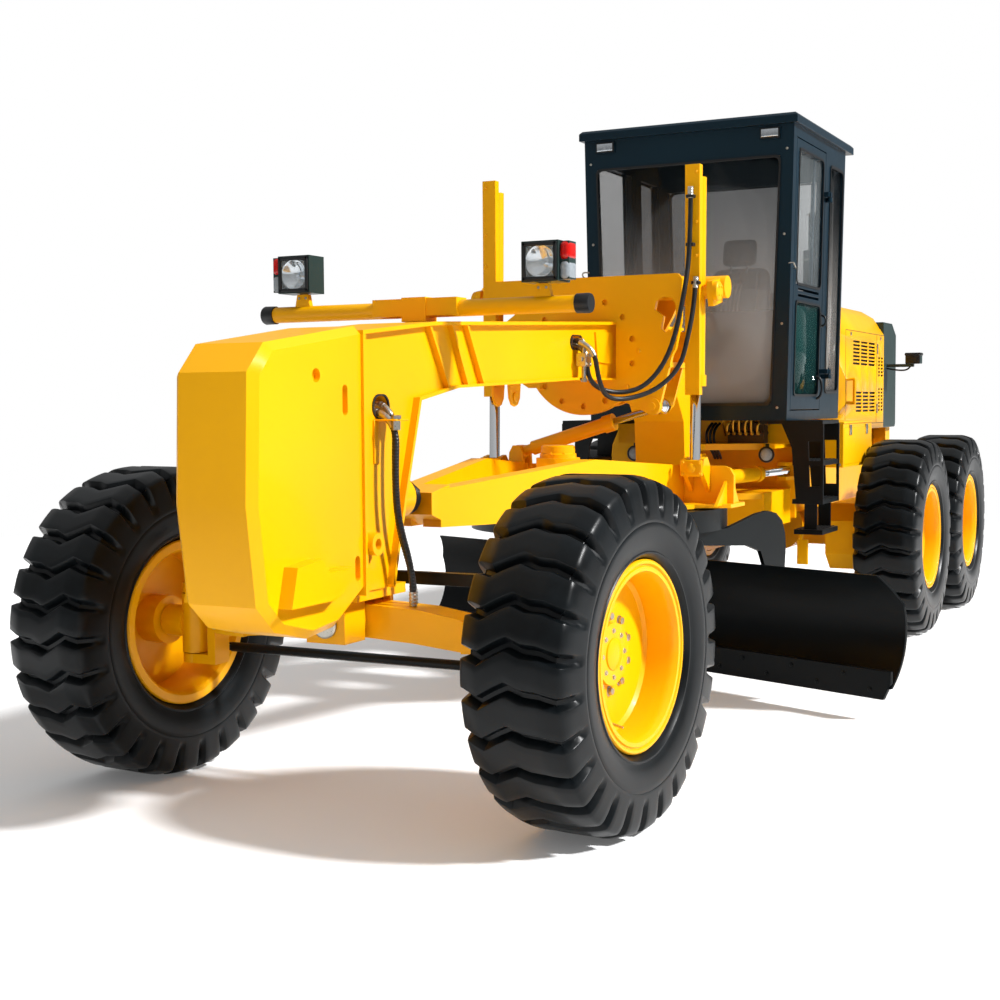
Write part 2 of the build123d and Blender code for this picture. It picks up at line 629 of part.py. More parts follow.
def lift_rod(side):
    """Lift rod down to the eye between the drawbar's ears."""
    top, low = lift_ends(side)
    body = bar(along_line(low, top, 20), along_line(low, top, 1060), lift_rod_radius)
    return body + free_eye(low, (1, 0, 0))


def shift_ends():
    """Lower pin on the drawbar and upper pin on the saddle of the centre shift cylinder."""
    return (shift_low_x, shift_y, shift_low_z), (shift_top_x, shift_y, shift_top_z)


def shift_barrel():
    """Centre shift barrel, which turns on its pin in the drawbar's lugs."""
    low, top = shift_ends()
    return eye_barrel(low, top, 600, shift_barrel_radius, shift_rod_radius, (0, 1, 0))


def shift_rod():
    """Centre shift rod up to the eye in front of the saddle's rear lug."""
    low, top = shift_ends()
    x, y, z = top
    body = bar(along_line(top, low, 20), along_line(top, low, 700), shift_rod_radius)
    body += eye(top, (0, 1, 0), eye_wall, eye_radius)
    return body + bar((x, y, z), (x, y + eye_wall / 2 + 2, z), eye_pin_radius)


def artic_ends(side):
    """Front pin on the front frame and rear pin on the rear frame of a steering hinge cylinder."""
    return (side * artic_front_x, artic_front_y, artic_z), (side * artic_rear_x, artic_rear_y, artic_z)


def artic_barrel(side):
    """Frame steering barrel, which turns on its pin in the front frame's lugs."""
    front, rear = artic_ends(side)
    return eye_barrel(front, rear, 640, artic_barrel_radius, artic_rod_radius, (0, 0, 1))


def artic_rod(side):
    """Frame steering rod back to the eye between the rear frame's lugs."""
    front, rear = artic_ends(side)
    body = bar(along_line(rear, front, 20), along_line(rear, front, 840), artic_rod_radius)
    return body + free_eye(rear, (0, 0, 1))


# Drawbar, circle and blade

def drawbar():
    """A shaped drawbar: ball, two beams, yoke with the lift ears, ring plate and shoes."""
    body = Pos(0, ball_y, ball_z) * Sphere(ball_radius)
    body += bar((0, ball_y, ball_z), (0, ball_y + 140, ball_z - 20), 34)
    body += slab_yz([(400, 1235), (400, 1140), (560, 1085), (560, 1262)], -120, 120)
    side_view = [(480, 1080), (480, 1245), (1650, 1335), (2000, 1310), (2490, 1275), (2490, 1056),
                 (1300, 1056)]
    for s in (-1, 1):
        plan = [(s * 30, 480), (s * 120, 480), (s * 515, 2490), (s * 425, 2490)]
        body += slab_xy(plan, 1056, 1340) & slab_yz(side_view, -700, 700)
    wall = [(-790, 1060), (-790, 1225), (-770, 1262), (-740, 1275), (740, 1275), (770, 1262), (790, 1225),
            (790, 1060)]
    body += slab_xz(wall, wing_y, wing_y + wing_wall)
    body += slab_xy([(-800, wing_rear_y), (800, wing_rear_y), (800, 2400), (480, 2290), (-480, 2290),
                     (-800, 2400)], 1056, 1076)
    for x in (-760, -480, -160, 160, 480, 760):
        body += slab_yz([(wing_y + wing_wall - 2, 1070), (wing_rear_y, 1070),
                         (wing_y + wing_wall - 2, 1240)], x - 8, x + 8)
    for s in (-1, 1):
        body += slab_yz([(2300, 1070), (wing_y + 2, 1070), (wing_y + 2, 1200)], s * 740, s * 756)
    body += tube((0, circle_y, ring_plate_z), (0, circle_y, ring_plate_z + ring_plate), 640, 330)
    for s in (-1, 1):
        for offset in (-eye_wall / 2 - swing_gap - lug_wall, eye_wall / 2 + swing_gap):
            x = s * drawbar_lift_x + offset
            body += slab_yz([(2480, 1270), (2480, 1130), (lift_eye_y, 1205), (lift_eye_y - 50, 1250),
                             (lift_eye_y - 30, 1315), (lift_eye_y + 30, 1325)], x, x + lug_wall)
    for y in (shift_y - eye_wall / 2 - swing_gap - lug_wall, shift_y + eye_wall / 2 + swing_gap):
        body += slab_xz([(shift_low_x - 60, 1080), (shift_low_x + 60, 1080), (shift_low_x + 42, shift_low_z),
                         (shift_low_x + 20, shift_low_z + 40), (shift_low_x - 20, shift_low_z + 40),
                         (shift_low_x - 42, shift_low_z)], y, y + lug_wall)
    body -= eye((shift_low_x, shift_y, shift_low_z), (0, 1, 0), 140, eye_pin_radius + pin_fit)
    foot_top = circle_top_z - circle_flange - face_gap
    for angle in (45, 135, 225, 315):
        shoe = block(460, 550, -60, 60, foot_top - shoe_foot, ring_plate_z + 4)
        shoe += block(500, 600, -60, 60, foot_top - shoe_foot, foot_top)
        body += Pos(0, circle_y, 0) * Rot(0, 0, angle) * shoe
    body += bar((0, 1960, 1056), (0, 1960, 1330), 115)
    return body + block(-420, 420, 1800, 1900, 1056, 1090)


def blade_place():
    """Frame of the circle: X along the blade towards the machine's left, Y backwards."""
    return Pos(0, circle_y, 0) * Rot(0, 0, -blade_angle)


def circle():
    """Circle ring with an inner flange on the shoes and two arms back over the blade."""
    body = tube((0, 0, circle_bottom_z), (0, 0, circle_top_z), circle_outer, circle_outer - circle_wall)
    body += tube((0, 0, circle_top_z - circle_flange), (0, 0, circle_top_z), circle_outer - 20,
                 circle_inner)
    arm = [(-280, 880), (-280, 925), (300, 935), (560, 1000), (660, 1012), (740, 995), (795, 950),
           (822, 880), (830, 800), (800, 420),
           (770, 320), (tip_t, tip_z - 50), (tip_t - 50, tip_z - 30), (tip_t - 50, 400), (665, 650),
           (600, 790), (480, 830)]
    for s in (-1, 1):
        body += slab_yz(arm, s * arm_s, s * (arm_s + arm_wall))
        body += block(s * 560, s * (arm_s + arm_wall), -250, 280, 900, circle_bottom_z + 2)
        body -= bar((s * 600, tip_t, tip_z), (s * 700, tip_t, tip_z), tip_pin_radius + pin_fit)
    return blade_place() * body


def blade_carrier():
    """Carrier behind the blade: two brackets that grip its rails, cross tube and tip pins."""
    outer = carrier_s + carrier_wall
    body = bar((-outer, tip_t, tip_z), (outer, tip_t, tip_z), 40)
    body += bar((-outer - 60, tip_t, tip_z), (outer + 60, tip_t, tip_z), tip_pin_radius)
    jaw_t, back_t = rail_t - 5, rail_t + rail_wall + 25
    for s in (-1, 1):
        bracket = slab_yz([(jaw_t, 672), (back_t + 40, 672), (tip_t + 45, tip_z + 60),
                           (tip_t + 45, tip_z - 45), (back_t + 40, 228), (jaw_t, 228)],
                          s * carrier_s, s * outer)
        bracket -= block(s * (carrier_s - 5), s * (outer + 5), jaw_t - 5, back_t, 335, 565)
        for z in rail_zs:
            half = rail_half_height + slide_gap
            bracket -= block(s * (carrier_s - 5), s * (outer + 5), jaw_t - 5,
                             rail_t + rail_wall + slide_gap, z - half, z + half)
        body += bracket
    return blade_place() * body


def moldboard():
    """Curved blade with its cutting edge, and behind it two slide rails on long webs."""
    t = blade_edge_t
    low_z = blade_bottom_z + 60
    mid_z = (blade_top_z + low_z) / 2
    section = [
        ThreePointArc((t, blade_top_z), (t + blade_hollow, mid_z), (t, low_z)),
        Line((t, low_z), (t + blade_wall, low_z)),
        ThreePointArc((t + blade_wall, low_z), (t + blade_hollow + blade_wall, mid_z),
                      (t + blade_wall, blade_top_z)),
        Line((t + blade_wall, blade_top_z), (t, blade_top_z)),
    ]
    x0, x1 = blade_shift - blade_half, blade_shift + blade_half
    place = Plane(origin=(x0, 0, 0), x_dir=(0, 1, 0), z_dir=(1, 0, 0))
    body = extrude(place * make_face(section), amount=x1 - x0, dir=(1, 0, 0))
    cut = [(x0, blade_top_z - 150), (x0, blade_top_z + 5), (x0 + 95, blade_top_z + 5)]
    body -= slab_xz(cut, t - 5, t + blade_hollow + 30)
    cut = [(x1, blade_top_z - 150), (x1, blade_top_z + 5), (x1 - 95, blade_top_z + 5)]
    body -= slab_xz(cut, t - 5, t + blade_hollow + 30)
    edge = [(x0 + 45, blade_bottom_z), (x0, blade_bottom_z + 90), (x0, blade_bottom_z + edge_height),
            (x1, blade_bottom_z + edge_height), (x1, blade_bottom_z + 90), (x1 - 45, blade_bottom_z)]
    body += slab_xz(edge, t - 2, t + blade_wall)
    for z in rail_zs:
        body += block(blade_shift - rail_half, blade_shift + rail_half, rail_t, rail_t + rail_wall,
                      z - rail_half_height, z + rail_half_height)
        body += block(blade_shift - rail_half, blade_shift + rail_half, t + 95, rail_t + 1, z - 8, z + 8)
    return blade_place() * body


# Rear frame

def rear_frame():
    """Rails, front box, deck and hinge ears of the rear frame, with its bumper and hitch."""
    body = block(-deck_half, deck_half, front_box_y, bulkhead_y, 800, 1030)
    ear = [(-deck_half, front_box_y + 10), (-120, hinge_y), (120, hinge_y), (deck_half, front_box_y + 10)]
    for z0, z1 in ((990, 1030), (deck_z, deck_z + deck_plate)):
        body += slab_xy(ear, z0, z1) + bar((0, hinge_y, z0), (0, hinge_y, z1), 120)
    body += block(-deck_half, deck_half, front_box_y, bulkhead_y + 40, deck_z, deck_z + deck_plate)
    body += block(-480, 480, bulkhead_y, bulkhead_y + 40, frame_bottom_z, deck_z + deck_plate)
    for s in (-1, 1):
        body += block(s * frame_half, s * (frame_half - frame_wall), bulkhead_y, bumper_y + 20,
                      frame_bottom_z, frame_top_z)
        lug = [(s * 480, bulkhead_y + 5), (s * 480, artic_rear_y), (s * (artic_rear_x + 30), artic_rear_y - 48),
               (s * (artic_rear_x - 30), artic_rear_y - 48), (s * 350, bulkhead_y + 5)]
        for z in (artic_z - eye_wall / 2 - swing_gap - lug_wall, artic_z + eye_wall / 2 + swing_gap):
            body += slab_xy(lug, z, z + lug_wall)
    for y in (5560, 6600):
        body += block(-frame_half, frame_half, y, y + 60, frame_bottom_z, frame_bottom_z + 90)
    seat_z = cab_bottom_z - face_gap
    body += block(-614, 614, 4290, 4390, deck_z + deck_plate - 5, cab_bottom_z - 23)
    body += block(-470, 470, 4290, 4390, cab_bottom_z - 30, seat_z)
    body += block(-500, 500, 4990, 5090, frame_top_z - 5, seat_z)
    body += bar((0, hinge_y, 985), (0, hinge_y, deck_z + deck_plate + 5), hinge_pin_radius)
    body += block(-bumper_half, bumper_half, bumper_y, bumper_rear_y, 900, frame_top_z)
    root_y = bumper_rear_y - 5
    for z in (1000, 1080):
        body += slab_xy([(-130, root_y), (-75, tail_y), (75, tail_y), (130, root_y)], z, z + 30)
    body -= bar((0, tail_y - hitch_edge, 990), (0, tail_y - hitch_edge, 1120), hitch_radius)
    for x in (-300, 300):
        for z in (960, 1200):
            body -= bar((x, bumper_rear_y - 110, z), (x, bumper_rear_y + 10, z), 13)
    return body


def tandem_axle():
    """Axle housing with a chain case on each side, whose stub axles carry the rear wheels."""
    body = block(-case_inner_x - 10, case_inner_x + 10, tandem_y - 140, tandem_y + 140, 534, 814)
    body += bar((0, tandem_y - 190, tyre_radius), (0, tandem_y + 190, tyre_radius), 190)
    for s in (-1, 1):
        body += block(s * 300, s * 345, tandem_y - 150, tandem_y + 150, 810, frame_bottom_z - face_gap)
        front, rear = wheel_ys[0] - 200, wheel_ys[1] + 200
        h = case_half_height
        body += slab_yz([(front, tyre_radius - h), (front - 130, tyre_radius - h / 2),
                         (front - 130, tyre_radius + h / 2), (front, tyre_radius + h),
                         (rear, tyre_radius + h), (rear + 60, tyre_radius + h / 2),
                         (rear + 60, tyre_radius - h / 2), (rear, tyre_radius - h)],
                        s * case_inner_x, s * case_outer_x)
        tip = track / 2 + rear_disc_offset
        for y in wheel_ys:
            body += bar((s * 800, y, tyre_radius), (s * (tip + 20), y, tyre_radius), spindle_radius)
            body += bar((s * 800, y, tyre_radius), (s * (tip - hub_depth - 6), y, tyre_radius), 80)
    return body


def powertrain_block():
    """Engine and transmission as one plain block between and on the rails."""
    body = block(-280, 280, 5640, 6900, 1000, 1402) + block(-frame_half, frame_half, 5640, 6900,
                                                        frame_top_z + face_gap, 1980)
    return body + block(-230, 230, 4820, 5660, 930, 1340)


def hood_outline(inset):
    """Cross section of the engine cover, points (x, z), inset by its wall."""
    half = hood_half - inset
    return [(-half, hood_bottom_z - inset), (-half, hood_shoulder_z), (-half + 90, hood_top_z - 60 - inset),
            (-half + 190, hood_top_z - inset), (half - 190, hood_top_z - inset),
            (half - 90, hood_top_z - 60 - inset), (half, hood_shoulder_z), (half, hood_bottom_z - inset)]


def hood():
    """Engine cover: thin folded shell, open below and at the rear, falling towards the tail."""
    body = slab_xz(hood_outline(0), hood_front_y, hood_rear_y)
    body -= slab_xz(hood_outline(hood_wall), hood_front_y + hood_wall, hood_rear_y + 10)
    slots = []
    for y0, y1, z0, z1, columns in hood_vents:
        width = (y1 - y0 + vent_web) / columns
        for column in range(columns):
            y = y0 + column * width
            for row in range(round((z1 - z0) / vent_pitch)):
                z = z0 + row * vent_pitch
                slots.append(block(-hood_half - 5, hood_half + 5, y, y + width - vent_web,
                                   z, z + vent_pitch - vent_bar))
    body -= slots
    for s in (-1, 1):
        inner, outer = s * (hood_half - 3), s * (hood_half + 60)
        body += bar((inner, 6080, 1785), (outer, 6080, 1785), 12) + Pos(outer, 6080, 1785) * Sphere(12)
        body += bar((inner, 6080, 1605), (outer, 6080, 1605), 12) + Pos(outer, 6080, 1605) * Sphere(12)
        body += bar((outer, 6080, 1605), (outer, 6080, 1785), 12)
    return body


def radiator_housing():
    """Dark tail section with the radiator, its rear lamps on side brackets."""
    y0 = hood_rear_y + face_gap
    z0 = frame_top_z + face_gap
    rear_y = bumper_rear_y
    body = slab_yz([(y0, z0), (y0, hood_rear_top_z - 30), (rear_y - 150, hood_rear_top_z - 30),
                    (rear_y, hood_rear_top_z - 120), (rear_y, z0 + 20), (rear_y - 20, z0)],
                   -hood_half + 2, hood_half - 2)
    for s in (-1, 1):
        body += block(s * (hood_half - 10), s * 720, 7440, 7480, 1900, 1925)
        body += block(s * 660, s * 780, 7410, 7500, 1925, 2010)
    return body


def exhaust_stack():
    """Exhaust stack with its muffler on the engine cover."""
    z = hood_top_z + face_gap
    return bar((180, 6300, z), (180, 6300, z + 420), 75) + bar((180, 6300, z + 400), (180, 6300, z + 700), 38)


# Cab

def cab_block(inset, y0, y1, z0, z1):
    """Part of the cab's tapered body between two heights, inset by a wall."""
    taper = (cab_half_top - cab_half_bottom) / (cab_top_z - cab_bottom_z)
    w0 = cab_half_bottom + (z0 - cab_bottom_z) * taper - inset
    w1 = cab_half_bottom + (z1 - cab_bottom_z) * taper - inset
    return slab_xz([(-w0, z0), (-w1, z1), (w1, z1), (w0, z0)], y0, y1)


def windshield_outline(inset):
    """Front window opening, points (x, z), wider at the top."""
    return [(-560 + inset, sill_z + inset), (-614 + inset, header_z - inset),
            (614 - inset, header_z - inset), (560 - inset, sill_z + inset)]


def rear_window_outline(inset):
    """Rear window opening, points (x, z)."""
    return [(-560 + inset, 2380 + inset), (-580 + inset, header_z - inset),
            (580 - inset, header_z - inset), (560 - inset, 2380 + inset)]


def cab_frame():
    """Cab body: posts, sill, rear wall and floor, with door and window openings cut through."""
    body = cab_block(0, cab_front_y, cab_rear_y, cab_bottom_z, cab_top_z)
    body -= cab_block(cab_wall, cab_front_y + cab_wall, cab_rear_y - cab_wall, cab_bottom_z + cab_wall,
                      cab_top_z + 5)
    body -= slab_xz(windshield_outline(0), cab_front_y - 10, cab_front_y + cab_wall + 10)
    body -= slab_xz(rear_window_outline(0), cab_rear_y - cab_wall - 10, cab_rear_y + 10)
    body -= block(-800, 800, door_front_y, door_rear_y, door_bottom_z, door_top_z)
    body -= block(-800, 800, quarter_front_y, quarter_rear_y, *quarter_zs)
    for s in (-1, 1):
        lamp_z = (header_z + cab_top_z) / 2 + 45
        body += block(s * 485, s * 615, cab_front_y - 12, cab_front_y + 5, lamp_z - 36, lamp_z + 36)
        for z in door_pin_zs:
            body += block(s * 640, s * door_pin_x, 4704, 4728, z - 32, z - 2)
            body += bar((s * door_pin_x, door_pin_y, z - 32), (s * door_pin_x, door_pin_y, z - 2), 16)
            body += bar((s * door_pin_x, door_pin_y, z - 10), (s * door_pin_x, door_pin_y, z + 40), 6)
            body += block(s * (door_pin_x - 12), s * (door_pin_x + 12), door_pin_y, 4728, z - 32, z - 2)
    return body


def cab_roof():
    """Flat roof with overhanging edges and a chamfered rim."""
    z0 = cab_top_z + face_gap
    body = block(-roof_half, roof_half, roof_front_y, roof_rear_y, z0, roof_top_z)
    return chamfer(body.faces().sort_by(Axis.Z)[-1].edges(), 18)


def side_strip(side, depth_out, depth_in, y0, y1, z0, z1):
    """Piece of the cab's left or right wall, between two depths below its outer face."""
    body = cab_block(depth_out, y0, y1, z0, z1) - cab_block(depth_in, y0 - 5, y1 + 5, z0 - 5, z1 + 5)
    return body & block(side * 300, side * 900, y0, y1, z0, z1)


def cab_glass():
    """Fixed panes: windshield, rear window and the two rear quarter windows."""
    front_y, rear_y = cab_front_y + 12, cab_rear_y - 12
    panes = slab_xz(windshield_outline(face_gap), front_y, front_y + glass_wall)
    panes += slab_xz(rear_window_outline(face_gap), rear_y - glass_wall, rear_y)
    for _, side in sides:
        panes += side_strip(side, 12, 12 + glass_wall, quarter_front_y + face_gap,
                            quarter_rear_y - face_gap, quarter_zs[0] + face_gap, quarter_zs[1] - face_gap)
    return panes


def cab_door(side):
    """Door in the cab's side wall, with its window openings cut."""
    y0, y1 = door_front_y + door_gap, door_rear_y - door_gap
    z0, z1 = door_bottom_z + door_gap, door_top_z - door_gap
    body = side_strip(side, 0, cab_wall, y0, y1, z0, z1)
    body -= block(side * 300, side * 900, y0 + door_sash, y1 - door_sash, z0 + door_kick, z1 - door_sash)
    rail = side_strip(side, 0, cab_wall, y0 + 10, y1 - 10, door_rail_z - rail_half_z, door_rail_z + rail_half_z)
    for z in (door_rail_z - 22, door_rail_z + 14):
        rail -= block(side * 300, side * 900, y0 + 110, y1 - 90, z, z + 16)
    body += rail
    body += side_strip(side, 24, cab_wall, y1 - door_sash - 130, y1 - door_sash - 104, door_rail_z + 30,
                       z1 - door_sash + 10)
    for z in door_pin_zs:
        body += block(side * 640, side * (door_pin_x + 6), 4650, y1, z, z + 30)
        body += block(side * (door_pin_x - 14), side * (door_pin_x + 14), y1 - 8, door_pin_y, z, z + 30)
        body += bar((side * door_pin_x, door_pin_y, z), (side * door_pin_x, door_pin_y, z + 30), 16)
        body -= bar((side * door_pin_x, door_pin_y, z - 5), (side * door_pin_x, door_pin_y, z + 35), 6 + pin_fit)
    return body


def door_glass(side):
    """Two panes that fill the door's window above and below its rail."""
    y0, y1 = door_front_y + door_gap + door_sash, door_rear_y - door_gap - door_sash
    z0, z1 = door_bottom_z + door_gap + door_kick, door_top_z - door_gap - door_sash
    panes = None
    for low, high in ((z0, door_rail_z - rail_half_z), (door_rail_z + rail_half_z, z1)):
        pane = side_strip(side, 12, 12 + glass_wall, y0 + face_gap, y1 - face_gap, low + face_gap,
                          high - face_gap)
        panes = pane if panes is None else panes + pane
    return panes


def cab_console():
    """Floor mat, seat pedestal, steering column with its wheel and two lever boxes."""
    z0 = cab_bottom_z + cab_wall + face_gap
    body = block(-600, 600, cab_front_y + 60, cab_rear_y - 60, z0, z0 + 15)
    body += block(-200, 200, 4560, 4960, z0 + 10, 1900)
    for s in (-1, 1):
        body += block(s * 120, s * 300, 4120, 4300, z0 + 10, 2180)
    body += bar((0, 4140, z0 + 10), (0, 4330, 2330), 40)
    ring = Plane(origin=(0, 4335, 2335), z_dir=(0, 0.32, 1)) * Torus(190, 14)
    spoke = Plane(origin=(0, 4335, 2335), z_dir=(0, 0.32, 1)) * Box(380, 30, 16)
    return joined(body, ring, spoke)


def seat():
    """Operator's seat: cushion, back and headrest as plain soft solids."""
    z0 = 1900 + face_gap
    body = block(-250, 250, 4500, 5000, z0, z0 + 130)
    body += slab_yz([(4900, z0 + 120), (4960, 2560), (5060, 2560), (5040, z0 + 120)], -240, 240)
    return body + slab_yz([(4965, 2550), (4990, 2760), (5070, 2760), (5055, 2550)], -130, 130)


# Platform pieces

def side_boxes():
    """Tank and tool box on brackets outside the rails, below the cab's rear corners."""
    body = None
    for s in (-1, 1):
        one = block(s * 506, s * 840, 4630, 5430, 1180, 1470)
        one += block(s * (frame_half + face_gap), s * 510, 4900, 5300, 1230, 1380)
        body = one if body is None else body + one
    return body


def access_steps():
    """Step frames under the cab's front corners, each with a hung lower step."""
    body = None
    for s in (-1, 1):
        one = block(s * 480, s * 880, 3950, 4350, 1477 + face_gap, cab_bottom_z - face_gap)
        outline = [(s * 620, 1480), (s * 885, 1480), (s * 885, 980), (s * 715, 980), (s * 685, 1330)]
        window = [(s * 790, 1370), (s * 868, 1370), (s * 868, 1090), (s * 800, 1090)]
        for y in (3950, 4335):
            one += slab_xz(outline, y, y + 15) - slab_xz(window, y - 1, y + 16)
        for z in (980, 1220):
            one += block(s * 690, s * 880, 3950, 4350, z, z + 30)
        for y in (3980, 4310):
            one += block(s * 760, s * 840, y, y + 12, 800, 985)
        one += block(s * 700, s * 880, 3960, 4340, 790, 820)
        body = one if body is None else body + one
    return body


def valve_bank():
    """Row of hydraulic spool valves on the deck under the cab's front edge."""
    z0 = deck_z + deck_plate + face_gap
    body = block(200, 440, 4165, 4260, z0, z0 + 130)
    for i in range(6):
        x = 220 + i * 40
        body += bar((x, 4170, z0 + 65), (x, 4120, z0 + 65), 14)
    return body


def hose(points):
    """Hydraulic hose along straight runs joined by tangent arcs."""
    path = FilletPolyline(*points, radius=hose_bend)
    return sweep(Plane(origin=path @ 0, z_dir=path % 0) * Circle(hose_radius), path=path)


def pieces():
    """Every node by name, in the frame of the front axle."""
    nodes = {
        "rear_frame": rear_frame(),
        "tandem_axle": tandem_axle(),
        "powertrain_block": powertrain_block(),
        "hood": hood(),
        "radiator_housing": radiator_housing(),
        "exhaust_stack": exhaust_stack(),
        "cab_frame": cab_frame(),
        "cab_roof": cab_roof(),
        "cab_glass": cab_glass(),
        "cab_console": cab_console(),
        "seat": seat(),
        "side_boxes": side_boxes(),
        "access_steps": access_steps(),
        "valve_bank": valve_bank(),
        "front_frame": front_frame(),
        "nose_block": nose_block(),
        "saddle": saddle(),
        "light_bar": light_bar(),
        "headlamps": headlamps(),
        "leg_hoses": hose(leg_hoses[0]) + hose(leg_hoses[1]),
        "beam_hoses": hose(beam_hoses[0]) + hose(beam_hoses[1]),
        "front_axle": front_axle(),
        "lean_bar": lean_bar(),
        "tie_rod_end": tie_rod_end(),
        "tie_rod": tie_rod(),
        "drawbar": drawbar(),
        "circle": circle(),
        "blade_carrier": blade_carrier(),
        "moldboard": moldboard(),
        "shift_barrel": shift_barrel(),
        "shift_rod": shift_rod(),
    }
    yoke, front_rim, rear_rim, plain_tyre = lean_yoke(), rim(front_disc_offset), rim(rear_disc_offset), tyre()
    for name, side in sides:
        nodes["cab_door_" + name] = cab_door(side)
        nodes["door_glass_" + name] = door_glass(side)
        nodes["lean_yoke_" + name] = yoke if side > 0 else mirrored(yoke)
        nodes["knuckle_" + name] = knuckle(side)
        nodes["lift_barrel_" + name] = lift_barrel(side)
        nodes["lift_rod_" + name] = lift_rod(side)
        nodes["artic_barrel_" + name] = artic_barrel(side)
        nodes["artic_rod_" + name] = artic_rod(side)
        nodes["front_tyre_" + name] = front_wheel_place(side) * plain_tyre
        nodes["front_rim_" + name] = front_wheel_place(side) * front_rim
        for place, y in zip(("mid", "rear"), wheel_ys):
            nodes[place + "_tyre_" + name] = rear_wheel_place(side, y) * plain_tyre
            nodes[place + "_rim_" + name] = rear_wheel_place(side, y) * rear_rim
    return nodes


def main():
    """Write one STEP file per node, moved so that the origin is under the machine's middle."""
    os.makedirs("parts", exist_ok=True)
    for name, shape in pieces().items():
        export_step(Pos(0, -middle_y, 0) * shape, "parts/" + name + ".step")
        print(name)


if __name__ == "__main__":
    main()
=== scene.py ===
from math import cos, sin, pi, radians

import bpy
import numpy as np
from mathutils import Matrix, Vector


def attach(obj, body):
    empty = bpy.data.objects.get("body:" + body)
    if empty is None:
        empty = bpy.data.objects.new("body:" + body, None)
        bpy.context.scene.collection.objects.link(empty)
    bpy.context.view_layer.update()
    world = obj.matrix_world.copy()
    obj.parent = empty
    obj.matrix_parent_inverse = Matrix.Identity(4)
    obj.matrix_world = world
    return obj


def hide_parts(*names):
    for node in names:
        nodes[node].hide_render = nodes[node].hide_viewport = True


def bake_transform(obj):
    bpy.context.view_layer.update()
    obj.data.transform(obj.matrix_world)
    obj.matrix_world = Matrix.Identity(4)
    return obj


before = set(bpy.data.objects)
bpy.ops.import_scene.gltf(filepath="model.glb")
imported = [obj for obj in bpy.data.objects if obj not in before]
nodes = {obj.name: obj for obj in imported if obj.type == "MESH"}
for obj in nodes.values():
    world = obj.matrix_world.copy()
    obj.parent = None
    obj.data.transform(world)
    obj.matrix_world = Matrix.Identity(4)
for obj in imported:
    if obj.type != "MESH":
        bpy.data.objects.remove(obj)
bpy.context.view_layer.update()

# Places are in millimetres from the ground point under the front axle, as in the CAD source. The
# object's own origin lies this far behind that point.
axleToMiddle = 3471
sides = (("left", 1), ("right", -1))
wheelBase = {"radius": 674, "half track": 1070, "kingpin": 840, "steer": radians(-4.66), "rear": (5435, 6965)}
circleTurn, circleY = radians(-20.3), 2500


def metres(points):
    return (np.asarray(points, float) - (0, axleToMiddle, 0)) / 1000


# Colours and nodes

def linear(hexText):
    # sRGB to linear: c / 12.92 up to 0.04045, and ((c + 0.055) / 1.055) to the power 2.4 above it
    c = np.array([int(hexText[i:i + 2], 16) for i in (1, 3, 5)]) / 255
    return (*np.where(c <= 0.04045, c / 12.92, ((c + 0.055) / 1.055) ** 2.4).tolist(), 1.0)


def wire(tree, node, links):
    for key, socket in links.items():
        tree.links.new(socket, node.inputs[key])


def addNode(tree, kind, settings=None, links=None):
    node = tree.nodes.new("ShaderNode" + kind)
    for key, value in (settings or {}).items():
        if isinstance(key, int) or key in node.inputs:
            node.inputs[key].default_value = value
        else:
            setattr(node, key, value)
    wire(tree, node, links or {})
    return node


def emptyTree(owner):
    owner.use_nodes = True
    owner.node_tree.nodes.clear()
    return owner.node_tree


def startMaterial(name, values):
    material = bpy.data.materials.new(name)
    tree = emptyTree(material)
    shader = addNode(tree, "BsdfPrincipled", values)
    addNode(tree, "OutputMaterial", links={"Surface": shader.outputs[0]})
    return material, tree, shader, addNode(tree, "TexCoord").outputs["Object"]


def sprayedEnamel(name, look):
    # Alkyd enamel sprayed on steel: an even colour under a clear gloss, with a fine orange peel, and
    # a speckled low colour that thickens towards the ground: road dust on the dark enamels, painted shade on
    # the yellow
    material, tree, shader, place = startMaterial(name, {
        "Coat Weight": look["coat"], "Coat Roughness": 0.1, "Specular IOR Level": look["specular"]})
    drift = addNode(tree, "TexNoise", {"Scale": 1000 / 900, "Detail": 2.0}, {"Vector": place})
    tone = addNode(tree, "MapRange", {"From Min": 0.35, "From Max": 0.65}, {0: drift.outputs[0]})
    paint = addNode(tree, "Mix", {"data_type": "RGBA", 6: linear(look["dark"]), 7: linear(look["light"])},
                    {0: tone.outputs[0]})
    height = addNode(tree, "SeparateXYZ", links={0: place})
    # towards the ground the paint mixes into the low colour: lighter dust on the dark enamels, a darker
    # orange-brown painted shade on the yellow
    low = addNode(tree, "MapRange", {"From Min": look["dust and shade top"], "From Max": 0.05, "To Max": look["dust and shade amount"]},
                  {0: height.outputs["Z"]})
    specks = addNode(tree, "TexNoise", {"Scale": 1000 / 70, "Detail": 6.0, "Roughness": 0.65},
                     {"Vector": place})
    share = addNode(tree, "Math", {"operation": "MULTIPLY", "use_clamp": True},
                    {0: low.outputs[0], 1: specks.outputs[0]})
    dustAndShade = addNode(tree, "Mix", {"data_type": "RGBA", 7: linear(look["dust and shade colour"])},
                    {0: share.outputs[0], 6: paint.outputs[2]})
    gloss = addNode(tree, "MapRange", {"From Min": 0.3, "From Max": 0.7, "To Min": look["rough"][0],
                                       "To Max": look["rough"][1]}, {0: specks.outputs[0]})
    peel = addNode(tree, "TexNoise", {"Scale": 1000 / 5, "Detail": 1.0}, {"Vector": place})
    bump = addNode(tree, "Bump", {"Strength": 0.3, "Distance": 0.00005}, {"Height": peel.outputs[0]})
    wire(tree, shader, {"Base Color": dustAndShade.outputs[2], "Roughness": gloss.outputs[0],
                        "Normal": bump.outputs[0]})
    return material


